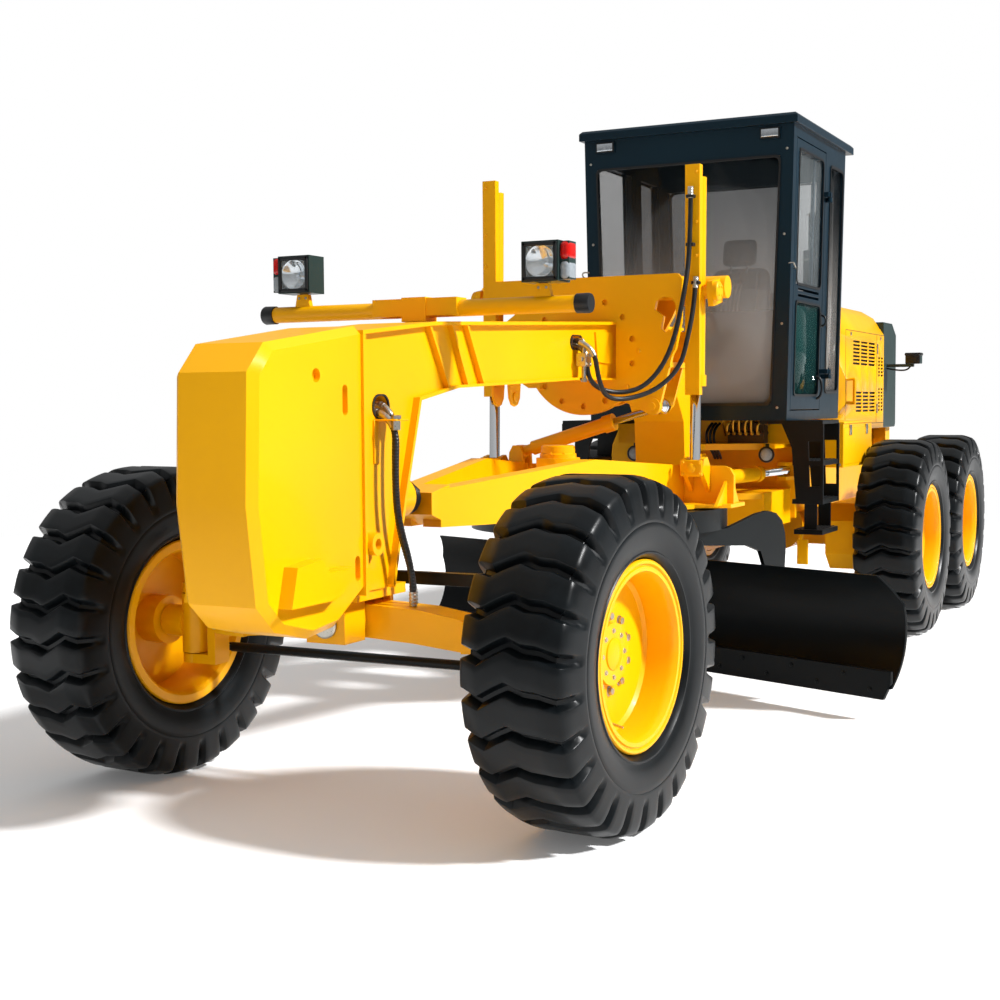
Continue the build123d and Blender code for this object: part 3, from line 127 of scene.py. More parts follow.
def mouldedRubber(name, look):
    # Vulcanised rubber or moulded plastic: near black with a grey bloom, matt, with the mould's fine grain
    material, tree, shader, place = startMaterial(name, {"Specular IOR Level": look.get("specular", 0.4)})
    bloom = addNode(tree, "TexNoise", {"Scale": 1000 / look["patch"], "Detail": 5.0, "Roughness": 0.6},
                    {"Vector": place})
    tone = addNode(tree, "MapRange", {"From Min": 0.35, "From Max": 0.65}, {0: bloom.outputs[0]})
    colour = addNode(tree, "Mix", {"data_type": "RGBA", 6: linear(look["dark"]), 7: linear(look["light"])},
                     {0: tone.outputs[0]})
    matt = addNode(tree, "MapRange", {"To Min": look["rough"][0], "To Max": look["rough"][1]},
                   {0: bloom.outputs[0]})
    grain = addNode(tree, "TexNoise", {"Scale": 1000 / look["grain"], "Detail": 3.0}, {"Vector": place})
    bump = addNode(tree, "Bump", {"Strength": 0.4, "Distance": look["depth"]}, {"Height": grain.outputs[0]})
    wire(tree, shader, {"Base Color": colour.outputs[2], "Roughness": matt.outputs[0],
                        "Normal": bump.outputs[0]})
    return material


def bareMetal(name, look):
    # Bare or plated metal: its colour is in the reflection, broken up by fine marks from making and wear
    material, tree, shader, place = startMaterial(name, {"Metallic": 1.0})
    marks = addNode(tree, "TexNoise", {"Scale": 1000 / look["marks"], "Detail": 4.0}, {"Vector": place})
    colour = addNode(tree, "Mix", {"data_type": "RGBA", 6: linear(look["dark"]), 7: linear(look["light"])},
                     {0: marks.outputs[0]})
    rough = addNode(tree, "MapRange", {"From Min": 0.3, "From Max": 0.7, "To Min": look["rough"][0],
                                       "To Max": look["rough"][1]}, {0: marks.outputs[0]})
    bump = addNode(tree, "Bump", {"Strength": 0.2, "Distance": 0.0001}, {"Height": marks.outputs[0]})
    wire(tree, shader, {"Base Color": colour.outputs[2], "Roughness": rough.outputs[0],
                        "Normal": bump.outputs[0]})
    return material


def clearPane(name, look):
    # Glass or acrylic: a smooth gloss over a tint that lets part of the light through, a little dusty
    material, tree, shader, place = startMaterial(name, {
        "Alpha": look["alpha"][0], "IOR": look["ior"], "Specular IOR Level": look.get("specular", 0.5)})
    film = addNode(tree, "TexNoise", {"Scale": 1000 / look["film"], "Detail": 2.0}, {"Vector": place})
    share = film.outputs[0]
    if "grade from" in look:
        # the colour and alpha change between two heights; the windscreen darkens from the sill to the header,
        # painted shade under the roof
        height = addNode(tree, "SeparateXYZ", links={0: place}).outputs["Z"]
        low, high = look["grade from"]
        rise = {"From Min": low, "From Max": high, "interpolation_type": "SMOOTHSTEP"}
        share = addNode(tree, "MapRange", {**rise, "To Min": 1.0, "To Max": 0.0}, {0: height}).outputs[0]
        depth = addNode(tree, "MapRange", {**rise, "To Min": look["alpha"][0], "To Max": look["alpha"][1]},
                        {0: height})
        wire(tree, shader, {"Alpha": depth.outputs[0]})
    colour = addNode(tree, "Mix", {"data_type": "RGBA", 6: linear(look["dark"]), 7: linear(look["light"])},
                     {0: share})
    rough = addNode(tree, "MapRange", {"To Min": look["rough"][0], "To Max": look["rough"][1]},
                    {0: film.outputs[0]})
    wire(tree, shader, {"Base Color": colour.outputs[2], "Roughness": rough.outputs[0]})
    return material


def wovenCloth(name, look):
    # Woven polyester: two sets of threads, drawn 4 mm apart where real ones are 1 mm, so that they show
    material, tree, shader, place = startMaterial(name, {"Sheen Weight": 0.3, "Roughness": 0.9})
    across, along = (addNode(tree, "TexWave", {"bands_direction": axis, "Scale": 1000 / 4 / 6.283},
                             {"Vector": place}).outputs["Fac"] for axis in "XY")
    threads = addNode(tree, "Math", {"operation": "MULTIPLY"}, {0: across, 1: along})
    colour = addNode(tree, "Mix", {"data_type": "RGBA", 6: linear(look["dark"]), 7: linear(look["light"])},
                     {0: threads.outputs[0]})
    bump = addNode(tree, "Bump", {"Strength": 0.5, "Distance": 0.0006}, {"Height": threads.outputs[0]})
    wire(tree, shader, {"Base Color": colour.outputs[2], "Normal": bump.outputs[0]})
    return material


# the yellow's orange-brown low colour is painted shade that darkens its lower parts, not dust
yellowEnamel = sprayedEnamel("YellowEnamel", {
    "light": "#F4B000", "dark": "#EEA900", "dust and shade colour": "#A8621A", "dust and shade amount": 0.2, "dust and shade top": 0.9,
    "rough": (0.34, 0.4), "coat": 0.08, "specular": 0.16})
blackEnamel = sprayedEnamel("SatinBlackEnamel", {
    "light": "#0A1012", "dark": "#070B0D", "dust and shade colour": "#2A2620", "dust and shade amount": 0.15, "dust and shade top": 1.2,
    "rough": (0.36, 0.44), "coat": 0.02, "specular": 0.22})
bladeEnamel = sprayedEnamel("BladeEnamel", {
    "light": "#070B0D", "dark": "#04080A", "dust and shade colour": "#1E1C1A", "dust and shade amount": 0.12, "dust and shade top": 0.6,
    "rough": (0.3, 0.36), "coat": 0.0, "specular": 0.09})
cabEnamel = sprayedEnamel("BlueBlackEnamel", {
    "light": "#0B2532", "dark": "#09202C", "dust and shade colour": "#26302F", "dust and shade amount": 0.1, "dust and shade top": 1.9,
    "rough": (0.28, 0.33), "coat": 0.04, "specular": 0.2})
tailEnamel = sprayedEnamel("GreenBlackEnamel", {
    "light": "#2A3B3A", "dark": "#22312F", "dust and shade colour": "#3C3E36", "dust and shade amount": 0.12, "dust and shade top": 1.6,
    "rough": (0.33, 0.38), "coat": 0.04, "specular": 0.2})
tyreRubber = mouldedRubber("TyreRubber", {
    "light": "#0C1114", "dark": "#06090B", "patch": 120, "grain": 3, "rough": (0.28, 0.4), "depth": 0.0003,
    "specular": 0.2})
hoseRubber = mouldedRubber("HoseRubber", {
    "light": "#17191B", "dark": "#0B0C0D", "patch": 30, "grain": 2, "rough": (0.3, 0.45), "depth": 0.0002})
blackPlastic = mouldedRubber("BlackPolypropylene", {
    "light": "#15181A", "dark": "#0D0F11", "patch": 40, "grain": 1.5, "rough": (0.35, 0.5), "depth": 0.00015})
cabPlastic = mouldedRubber("GreyPolypropylene", {
    "light": "#3A3D3E", "dark": "#2B2E2F", "patch": 60, "grain": 2, "rough": (0.5, 0.65), "depth": 0.0002})
chromedRod = bareMetal("HardChrome", {
    "light": "#E6E8EA", "dark": "#C9CDD0", "marks": 3, "rough": (0.06, 0.14)})
zincSteel = bareMetal("ZincPlatedSteel", {
    "light": "#C8C6BE", "dark": "#9D9A90", "marks": 6, "rough": (0.25, 0.38)})
passivated = bareMetal("YellowPassivatedSteel", {
    "light": "#D9A93E", "dark": "#A8741F", "marks": 9, "rough": (0.26, 0.42)})
castIron = bareMetal("CastIron", {
    "light": "#6B5A48", "dark": "#2E2823", "marks": 12, "rough": (0.5, 0.7)})
mirrored = bareMetal("MetallisedReflector", {
    "light": "#F4F7F9", "dark": "#C8D2DA", "marks": 14, "rough": (0.05, 0.16)})
# darker towards the header: painted shade under the cab roof, over a lighter grey towards the sill
cabGlass = clearPane("TintedSafetyGlass", {
    "light": "#9C9894", "dark": "#14181A", "alpha": (0.6, 0.46), "ior": 1.5, "film": 500,
    "rough": (0.02, 0.03), "grade from": (1.9, 3.0), "specular": 0.4})
doorGlass = clearPane("DoorSafetyGlass", {
    "light": "#1E4442", "dark": "#E4EFF2", "alpha": (0.6, 0.07), "ior": 1.5, "film": 400,
    "rough": (0.02, 0.03), "grade from": (2.2, 2.4), "specular": 0.3})
lampGlass = clearPane("LampGlass", {
    "light": "#EAF2F5", "dark": "#CBD8DE", "alpha": (0.14,), "ior": 1.5, "film": 25, "rough": (0.01, 0.03)})
redAcrylic = clearPane("RedAcrylic", {
    "light": "#D8160F", "dark": "#A80A08", "alpha": (0.97,), "ior": 1.49, "film": 18, "rough": (0.06, 0.14)})
clearAcrylic = clearPane("ClearAcrylic", {
    "light": "#A9B0B5", "dark": "#848C92", "alpha": (0.93,), "ior": 1.49, "film": 18, "rough": (0.08, 0.16)})
seatCloth = wovenCloth("SeatWeave", {"light": "#33373A", "dark": "#1A1C1E"})
print("stage: materials")


# Shapes. Each is a pair of points and face arrays; a grid's faces join each point to its neighbours.

def gridFaces(rows, cols, closedRows=False):
    i = np.arange(rows if closedRows else rows - 1)[:, None]
    j = np.arange(cols)[None, :]
    below, beside = (i + 1) % rows, (j + 1) % cols
    quads = [i * cols + j, i * cols + beside, below * cols + beside, below * cols + j]
    return np.stack(np.broadcast_arrays(*quads), -1).reshape(-1, 4)


def skin(points, closedRows=False):
    # Grid of rows by columns, its columns closed to a loop, and its two end rows filled where rows stay open
    rows, cols = points.shape[:2]
    faces = [gridFaces(rows, cols, closedRows)]
    if not closedRows:
        faces.append(np.stack([np.arange(cols)[::-1], (rows - 1) * cols + np.arange(cols)]))
    return points.reshape(-1, 3), faces


def aboutZ(angle):
    # Rotation about Z: (x cos - y sin, x sin + y cos, z)
    return np.array([[cos(angle), -sin(angle), 0], [sin(angle), cos(angle), 0], [0, 0, 1]])


def turnTo(direction):
    # Rotation that takes X to a direction
    return np.array(Vector(direction).to_track_quat("X", "Z").to_matrix())


def evenly(count, first=0.0):
    # Angles of so many equal steps round a circle
    return 2 * pi * (np.arange(count) + first) / count


def ring(angles, radius, middle, plane="yz"):
    # Places on a circle: middle + radius (cos t, sin t) along the plane's two axes
    places = np.tile(np.asarray(middle, float), (len(angles), 1))
    places[:, "xyz".index(plane[0])] += radius * np.cos(angles)
    places[:, "xyz".index(plane[1])] += radius * np.sin(angles)
    return places


def turned(profile, start=(0, 0, 0), axis=(1, 0, 0), steps=32):
    # Profile of (along, radius) carried round an axis: (along, radius cos t, radius sin t)
    along, radius = np.asarray(profile, float).T[:, :, None]
    t = np.linspace(0, 2 * pi, steps, endpoint=False)
    points = np.stack(np.broadcast_arrays(along, radius * np.cos(t), radius * np.sin(t)), -1)
    return skin(points @ turnTo(axis).T + np.asarray(start, float))


def pin(start, end, radius, edge=1.5, steps=24):
    # Round bar with a small bevel at both ends
    start, end = np.asarray(start, float), np.asarray(end, float)
    length = np.linalg.norm(end - start)
    return turned([(0, radius - edge), (edge, radius), (length - edge, radius), (length, radius - edge)],
                  start, end - start, steps)


def bolt(radius, height, axis=(1, 0, 0)):
    # Hexagon head on a round washer, standing on the origin
    washer = turned([(-4, radius * 1.35), (1.6, radius * 1.35), (2.2, radius * 1.25)], axis=axis, steps=14)
    head = turned([(1, radius), (height * 0.85, radius), (height, radius * 0.85)], axis=axis, steps=6)
    return washer, head


def roundBox(low, high, radius, steps=3):
    # Rounded rectangles stacked along Z, which draw in by a quarter circle at both ends
    low, high = np.minimum(low, high).astype(float), np.maximum(low, high).astype(float)
    middle, half = (low + high) / 2, (high - low) / 2
    radius = min(radius, half.min() * 0.98)
    q = np.linspace(0, pi / 2, steps + 1)
    inset, rise = radius * (1 - np.sin(q)), radius * (1 - np.cos(q))
    corner = radius * (0.3 + 0.7 * np.sin(q))
    inset, corner = np.r_[inset, inset[::-1]], np.r_[corner, corner[::-1]]
    z = np.r_[low[2] + rise, high[2] - rise[::-1]]
    t = (np.arange(4)[:, None] * pi / 2 + q).ravel()
    signX = np.repeat([1, -1, -1, 1], steps + 1)
    signY = np.repeat([1, 1, -1, -1], steps + 1)
    x = middle[0] + signX * (half[0] - inset - corner)[:, None] + corner[:, None] * np.cos(t)
    y = middle[1] + signY * (half[1] - inset - corner)[:, None] + corner[:, None] * np.sin(t)
    return skin(np.stack([x, y, np.broadcast_to(z[:, None], x.shape)], -1))


def plate(outline, low, high):
    # Outline of (y, z) given thickness along X
    outline = np.asarray(outline, float)
    depth = np.array([low, high], float)[:, None] * np.ones(len(outline))
    y, z = (np.broadcast_to(outline[:, k], depth.shape) for k in (0, 1))
    return skin(np.stack((depth, y, z), -1))


def tube(path, radius, steps=12, hint=(0.31, 0.17, 0.93)):
    # Rings square to a path, (side cos t + up sin t) times the radius at each of its points
    path = np.asarray(path, float)
    ahead = np.gradient(path, axis=0)
    ahead /= np.linalg.norm(ahead, axis=1, keepdims=True)
    side = np.cross(ahead, hint)
    side /= np.linalg.norm(side, axis=1, keepdims=True)
    up = np.cross(side, ahead)
    t = np.linspace(0, 2 * pi, steps, endpoint=False)[None, :, None]
    radius = np.broadcast_to(radius, len(path))[:, None, None]
    return skin(path[:, None] + radius * (side[:, None] * np.cos(t) + up[:, None] * np.sin(t)))


def smoothLine(points, spacing=5.0):
    # Points along the NURBS curve of order 3 whose control points are given, evenly spaced
    curve = bpy.data.curves.new("Line", "CURVE")
    curve.dimensions = "3D"
    curve.resolution_u = 16
    spline = curve.splines.new("NURBS")
    spline.points.add(len(points) - 1)
    control = np.c_[np.asarray(points, float), np.ones(len(points))]
    spline.points.foreach_set("co", control.ravel())
    spline.order_u = 3
    spline.use_endpoint_u = True
    holder = bpy.data.objects.new("Line", curve)
    mesh = bpy.data.meshes.new_from_object(holder)
    line = np.empty(len(mesh.vertices) * 3)
    mesh.vertices.foreach_get("co", line)
    line = line.reshape(-1, 3)
    bpy.data.objects.remove(holder)
    run = np.r_[0, np.cumsum(np.linalg.norm(np.diff(line, axis=0), axis=1))]
    even = np.linspace(0, run[-1], max(3, int(run[-1] / spacing)))
    return np.stack([np.interp(even, run, line[:, k]) for k in range(3)], 1)


def pipe(points, radius):
    # Round pipe along a smooth line
    return tube(smoothLine(points), radius)


def enclosed(points, faces):
    # Six times the volume inside: the sum of a . (b x c) over the triangle fans of all faces
    corners = [points[f] for f in faces]
    return sum((c[:, :1] * np.cross(c[:, 1:-1], c[:, 2:])).sum() for c in corners)


class Piece:
    # Gathers shapes into one mesh
    def __init__(self):
        self.points, self.faces, self.count = [], [], 0

    def add(self, *shapes, places=((0, 0, 0),)):
        # Each shape is repeated at every place, with its faces outwards
        places = np.asarray(places, float).reshape(-1, 3)
        for points, faces in shapes:
            if enclosed(points - points.mean(0), faces) < 0:
                faces = [f[:, ::-1] for f in faces]
            start = self.count + len(points) * np.arange(len(places))
            self.points.append((points + places[:, None]).reshape(-1, 3))
            self.faces += [(f + start[:, None, None]).reshape(-1, f.shape[1]) for f in faces]
            self.count += len(points) * len(places)
        return self

    def make(self, name, material, body, smooth=35, bevel=0, slotName=None, replaced=(), place=None):
        points = np.concatenate(self.points)
        if place is not None:
            points = points @ place[0].T + place[1]
        mesh = bpy.data.meshes.new(name)
        mesh.from_pydata(metres(points).tolist(), [], sum((f.tolist() for f in self.faces), []))
        mesh.validate()
        mesh.materials.append(material)
        mesh.shade_smooth()
        mesh.set_sharp_from_angle(angle=radians(smooth))
        piece = bpy.data.objects.new(name, mesh)
        bpy.context.scene.collection.objects.link(piece)
        if bevel:
            addBevel(piece, bevel / 1000)
        if body:
            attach(piece, body)
        if replaced:
            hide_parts(*replaced)
        return piece


def addBevel(piece, width):
    bevel = piece.modifiers.new("Bevel", "BEVEL")
    bevel.width = width
    bevel.segments = 2
    bevel.limit_method = "ANGLE"
    bevel.angle_limit = radians(32)
    bevel.use_clamp_overlap = True


def addFlatFaces(piece):
    # large faces stay flat in the light, and the narrow ones between them read as rounded edges
    flat = piece.modifiers.new("FlatFaces", "WEIGHTED_NORMAL")
    flat.weight = 90
    flat.keep_sharp = True


# Camera

def makeCamera():
    look = {"place": (3269.6, -5159.9, 1609.7), "yaw": 0.4696, "pitch": -0.0638, "roll": -0.0066,
            "lens": 53.72}
    data = bpy.data.cameras.new("PhotoCamera")
    data.sensor_width, data.lens, data.clip_end = 36, look["lens"], 400
    camera = bpy.data.objects.new("PhotoCamera", data)
    bpy.context.scene.collection.objects.link(camera)
    yaw, pitch, roll = look["yaw"], look["pitch"], look["roll"]
    ahead = Vector((-sin(yaw) * cos(pitch), cos(yaw) * cos(pitch), sin(pitch)))
    right = ahead.cross(Vector((0, 0, 1))).normalized()
    up = right.cross(ahead)
    across, above = cos(roll) * right + sin(roll) * up, cos(roll) * up - sin(roll) * right
    turn = Matrix((across, above, -ahead)).transposed().to_4x4()
    camera.matrix_world = Matrix.Translation(metres(look["place"])) @ turn
    bpy.context.scene.camera = camera


makeCamera()
print("stage: camera")


# Light, floor and backdrop

def makeStage():
    look = {"sun": 5.4, "sun from": (0.78, 0.1, 0.62), "sun size": 6, "sky top": 0.6, "sky low": 0.14,
            "floor": 0.9, "floor glow": 0.1, "floor fade": (6.5, 12.0), "floor radius": 60, "dome radius": 90}
    world = bpy.data.worlds.new("Studio")
    bpy.context.scene.world = world
    tree = emptyTree(world)
    where = addNode(tree, "TexCoord")
    height = addNode(tree, "SeparateXYZ", links={0: where.outputs["Generated"]})
    bright = addNode(tree, "MapRange", {"From Min": -0.1, "From Max": 0.9, "To Min": look["sky low"],
                                        "To Max": look["sky top"]}, {0: height.outputs["Z"]})
    sky = addNode(tree, "Background", {"Color": (1, 1, 1, 1)}, {"Strength": bright.outputs[0]})
    addNode(tree, "OutputWorld", links={"Surface": sky.outputs[0]})
    sun = bpy.data.lights.new("Sun", "SUN")
    sun.energy, sun.angle = look["sun"], radians(look["sun size"])
    lamp = bpy.data.objects.new("Sun", sun)
    lamp.rotation_mode = "QUATERNION"
    lamp.rotation_quaternion = Vector(look["sun from"]).to_track_quat("Z", "Y")
    bpy.context.scene.collection.objects.link(lamp)

    paper = bpy.data.materials.new("StudioPaper")
    tree = emptyTree(paper)
    away = addNode(tree, "VectorMath", {"operation": "LENGTH"},
                   {0: addNode(tree, "TexCoord").outputs["Object"]})
    fade = addNode(tree, "MapRange", {"From Min": look["floor fade"][0], "From Max": look["floor fade"][1]},
                   {0: away.outputs["Value"]})
    lit = addNode(tree, "BsdfDiffuse", {"Color": (look["floor"],) * 3 + (1,)})
    glow = addNode(tree, "Emission", {"Strength": look["floor glow"]})
    near = addNode(tree, "AddShader", links={0: lit.outputs[0], 1: glow.outputs[0]})
    white = addNode(tree, "Emission", {"Strength": 1.0})
    both = addNode(tree, "MixShader", links={0: fade.outputs[0], 1: near.outputs[0], 2: white.outputs[0]})
    addNode(tree, "OutputMaterial", links={"Surface": both.outputs[0]})
    mesh = bpy.data.meshes.new("Floor")
    mesh.from_pydata(ring(evenly(64), look["floor radius"], (0, 0, -0.002), "xy").tolist(), [],
                     [list(range(64))])
    mesh.materials.append(paper)
    floor = bpy.data.objects.new("Floor", mesh)

    blank = bpy.data.materials.new("StudioWhite")
    tree = emptyTree(blank)
    glow = addNode(tree, "Emission", {"Strength": 1.0})
    addNode(tree, "OutputMaterial", links={"Surface": glow.outputs[0]})
    a, radius = np.linspace(0.02, pi - 0.02, 24), look["dome radius"]
    points, faces = turned(np.stack([-radius * np.cos(a), radius * np.sin(a)], 1), steps=48)
    mesh = bpy.data.meshes.new("Backdrop")
    mesh.from_pydata(points.tolist(), [], sum((f.tolist() for f in faces), []))
    mesh.materials.append(blank)
    dome = bpy.data.objects.new("Backdrop", mesh)
    dome.visible_diffuse = dome.visible_glossy = dome.visible_shadow = False
    for stand in (floor, dome):
        bpy.context.scene.collection.objects.link(stand)
    bpy.context.scene.view_settings.view_transform = "Standard"
    bpy.context.scene.view_settings.look = "None"


makeStage()
print("stage: light")


# Finishes of the CAD's own nodes

def dressNodes():
    # material, edge rounding in millimetres, and how the nodes' names begin
    table = (
        (yellowEnamel, 8, ("nose_block",)),
        (yellowEnamel, 3, ("front_frame", "saddle", "light_bar", "lift_barrel", "side_boxes", "drawbar")),
        (yellowEnamel, 2, ("shift_barrel", "artic_barrel", "rear_frame", "tandem_axle", "front_axle",
                           "lean_yoke", "knuckle", "front_rim", "mid_rim", "rear_rim")),
        (yellowEnamel, 0, ("hood",)),
        (blackEnamel, 2, ("lean_bar", "tie_rod", "access_steps", "circle", "blade_carrier", "exhaust_stack")),
        (bladeEnamel, 2, ("moldboard",)),
        (tailEnamel, 6, ("radiator_housing",)),
        (cabEnamel, 3, ("cab_frame", "cab_roof", "cab_door")),
        (tailEnamel, 12, ("headlamps",)),
        (cabPlastic, 3, ("cab_console",)),
        (castIron, 2, ("powertrain_block", "valve_bank")),
        (chromedRod, 0, ("lift_rod", "shift_rod", "artic_rod")),
        (cabGlass, 0, ("cab_glass",)),
        (doorGlass, 0, ("door_glass",)),
        (seatCloth, 0, ("seat",)),
        (tyreRubber, 0, ("front_tyre", "mid_tyre", "rear_tyre")),
        (hoseRubber, 0, ("leg_hoses", "beam_hoses")),
    )
    for name, node in nodes.items():
        material, edge = next((m, e) for m, e, starts in table if name.startswith(starts))
        node.data.materials.clear()
        node.data.materials.append(material)
        weld = node.modifiers.new("Weld", "WELD")
        weld.merge_threshold = 0.00002
        if edge:
            addBevel(node, edge / 1000)
            addFlatFaces(node)
        node.data.shade_smooth()
        # the nose block's facets meet at up to 60 degrees and stay smooth
        node.data.set_sharp_from_angle(angle=radians(62 if name == "nose_block" else 32))


dressNodes()
print("stage: frame finishes")


# Wheels

def wheelPlaces():
    # name, side, rotation and middle of each wheel, whose own X points outward, and its disc's outer face
    rows = []
    for name, s in sides:
        flip = np.diag([s, s, 1.0])
        steer = aboutZ(wheelBase["steer"])
        reach = wheelBase["half track"] - wheelBase["kingpin"]
        middle = np.array([s * wheelBase["kingpin"], 0, wheelBase["radius"]]) + steer @ [s * reach, 0, 0]
        rows.append(("front", name, (steer @ flip, middle), 48))
        for which, y in zip(("mid", "rear"), wheelBase["rear"]):
            middle = np.array([s * wheelBase["half track"], y, wheelBase["radius"]])
            rows.append((which, name, (flip, middle), 78))
    return rows


def tyreShape():
    # The section is a closed line of (across, radius). Round the wheel each lug's 12 lines follow the wave
    # of the tread: turns = (lug + phase + wave(across)) / lugs. A groove cuts in along the section's normal.
    look = {"lugs": 27, "depth": 36, "crown": 18, "half": 185, "flat": 118, "wall middle": 520}
    x = np.linspace(-look["half"], look["half"], 29)
    past = np.clip(np.abs(x) - look["flat"], 0, None) / (look["half"] - look["flat"])
    crown = wheelBase["radius"] - look["crown"] * past ** 1.5
    # the side wall from the tread's edge to the rim: across, radius, share of the lugs' depth
    wall = np.array([
        (191, 653.5, 1), (198, 648, 1), (204, 637, 1), (209, 622, 1), (212.5, 605, 0.9), (215, 588, 0.72),
        (217, 570, 0.5), (219, 552, 0.28), (220.5, 536, 0.1), (221.4, 524, 0), (222, 512, 0), (222.4, 503, 0),
        (221, 500, 0), (222.2, 497, 0), (221.5, 478, 0), (219, 455, 0), (215, 432, 0), (209.5, 412, 0),
        (204, 399, 0), (203, 394, 0), (206, 390, 0), (205.5, 385, 0), (199, 379, 0), (188, 372, 0),
        (178, 367.5, 0), (173.8, 362, 0), (173.7, 345, 0), (173.7, 323, 0)])
    tread = np.stack([x, crown, np.ones_like(x)], 1)
    section = np.concatenate([wall[::-1] * (-1, 1, 1), tread, wall])
    a, r, share = section.T
    wave = np.interp(a, (-185, -118.4, -60, -9.25, 50, 118, 185), (0, 0.12, -0.1, -0.26, -0.12, -0.1, 0.02))
    wave = np.where(share > 0, wave, 0)
    phase = np.array([0, 0.055, 0.15, 0.168, 0.19, 0.35, 0.5, 0.65, 0.81, 0.832, 0.85, 0.945])
    cut = np.array([1, 1, 0.13, 0.035, 0, 0, 0, 0, 0, 0.035, 0.13, 1])
    na, nr = np.gradient(r), -np.gradient(a)
    outward = np.sign(na * a + nr * (r - look["wall middle"]))
    length = np.hypot(na, nr) * outward
    deep = look["depth"] * (share[:, None] * cut)[:, None, :] * np.ones((1, look["lugs"], 1))
    lug = np.arange(look["lugs"])[None, :, None]
    down = 0.75 - 0.3 / look["lugs"]
    t = 2 * pi * (down + (lug + phase + wave[:, None, None]) / look["lugs"])
    across = a[:, None, None] - deep * (na / length)[:, None, None]
    radius = r[:, None, None] - deep * (nr / length)[:, None, None]
    points = np.stack([across, radius * np.cos(t), radius * np.sin(t)], -1)
    return skin(points.reshape(len(section), -1, 3), closedRows=True)


def makeWheels():
    look = {"bolts": 10, "bolt circle": 142, "plate bolts": 8, "plate circle": 88, "valve": (60, 262)}
    tyre = tyreShape()
    for which, name, place, disc in wheelPlaces():
        body = which + "_wheel_" + name
        Piece().add(tyre).make("Tyre_" + which + "_" + name, tyreRubber, body, 30, slotName="tyre_rubber",
                               replaced=(which + "_tyre_" + name,), place=place)
        outer = ring(evenly(look["bolts"], 0.5), look["bolt circle"], (disc, 0, 0))
        inner = ring(evenly(look["plate bolts"]), look["plate circle"], (disc + 19, 0, 0))
        nuts = Piece().add(*bolt(15, 17), places=outer).add(*bolt(8, 7), places=inner)
        along, out = look["valve"]
        nuts.add(pin((disc - 4, 0, -out), (disc + along, 0, -out - 14), 5))
        nuts.make("WheelBolts_" + which + "_" + name, zincSteel, body, 30, place=place)
        hub = turned([(disc + x, radius) for x, radius in ((18, 62), (25, 60), (31, 46), (33, 20), (33, 1))])
        Piece().add(hub).make("HubCap_" + which + "_" + name, yellowEnamel, body, 30, place=place)


makeWheels()
print("stage: wheels")


# Lamps on the light bar, on the cab and at the tail

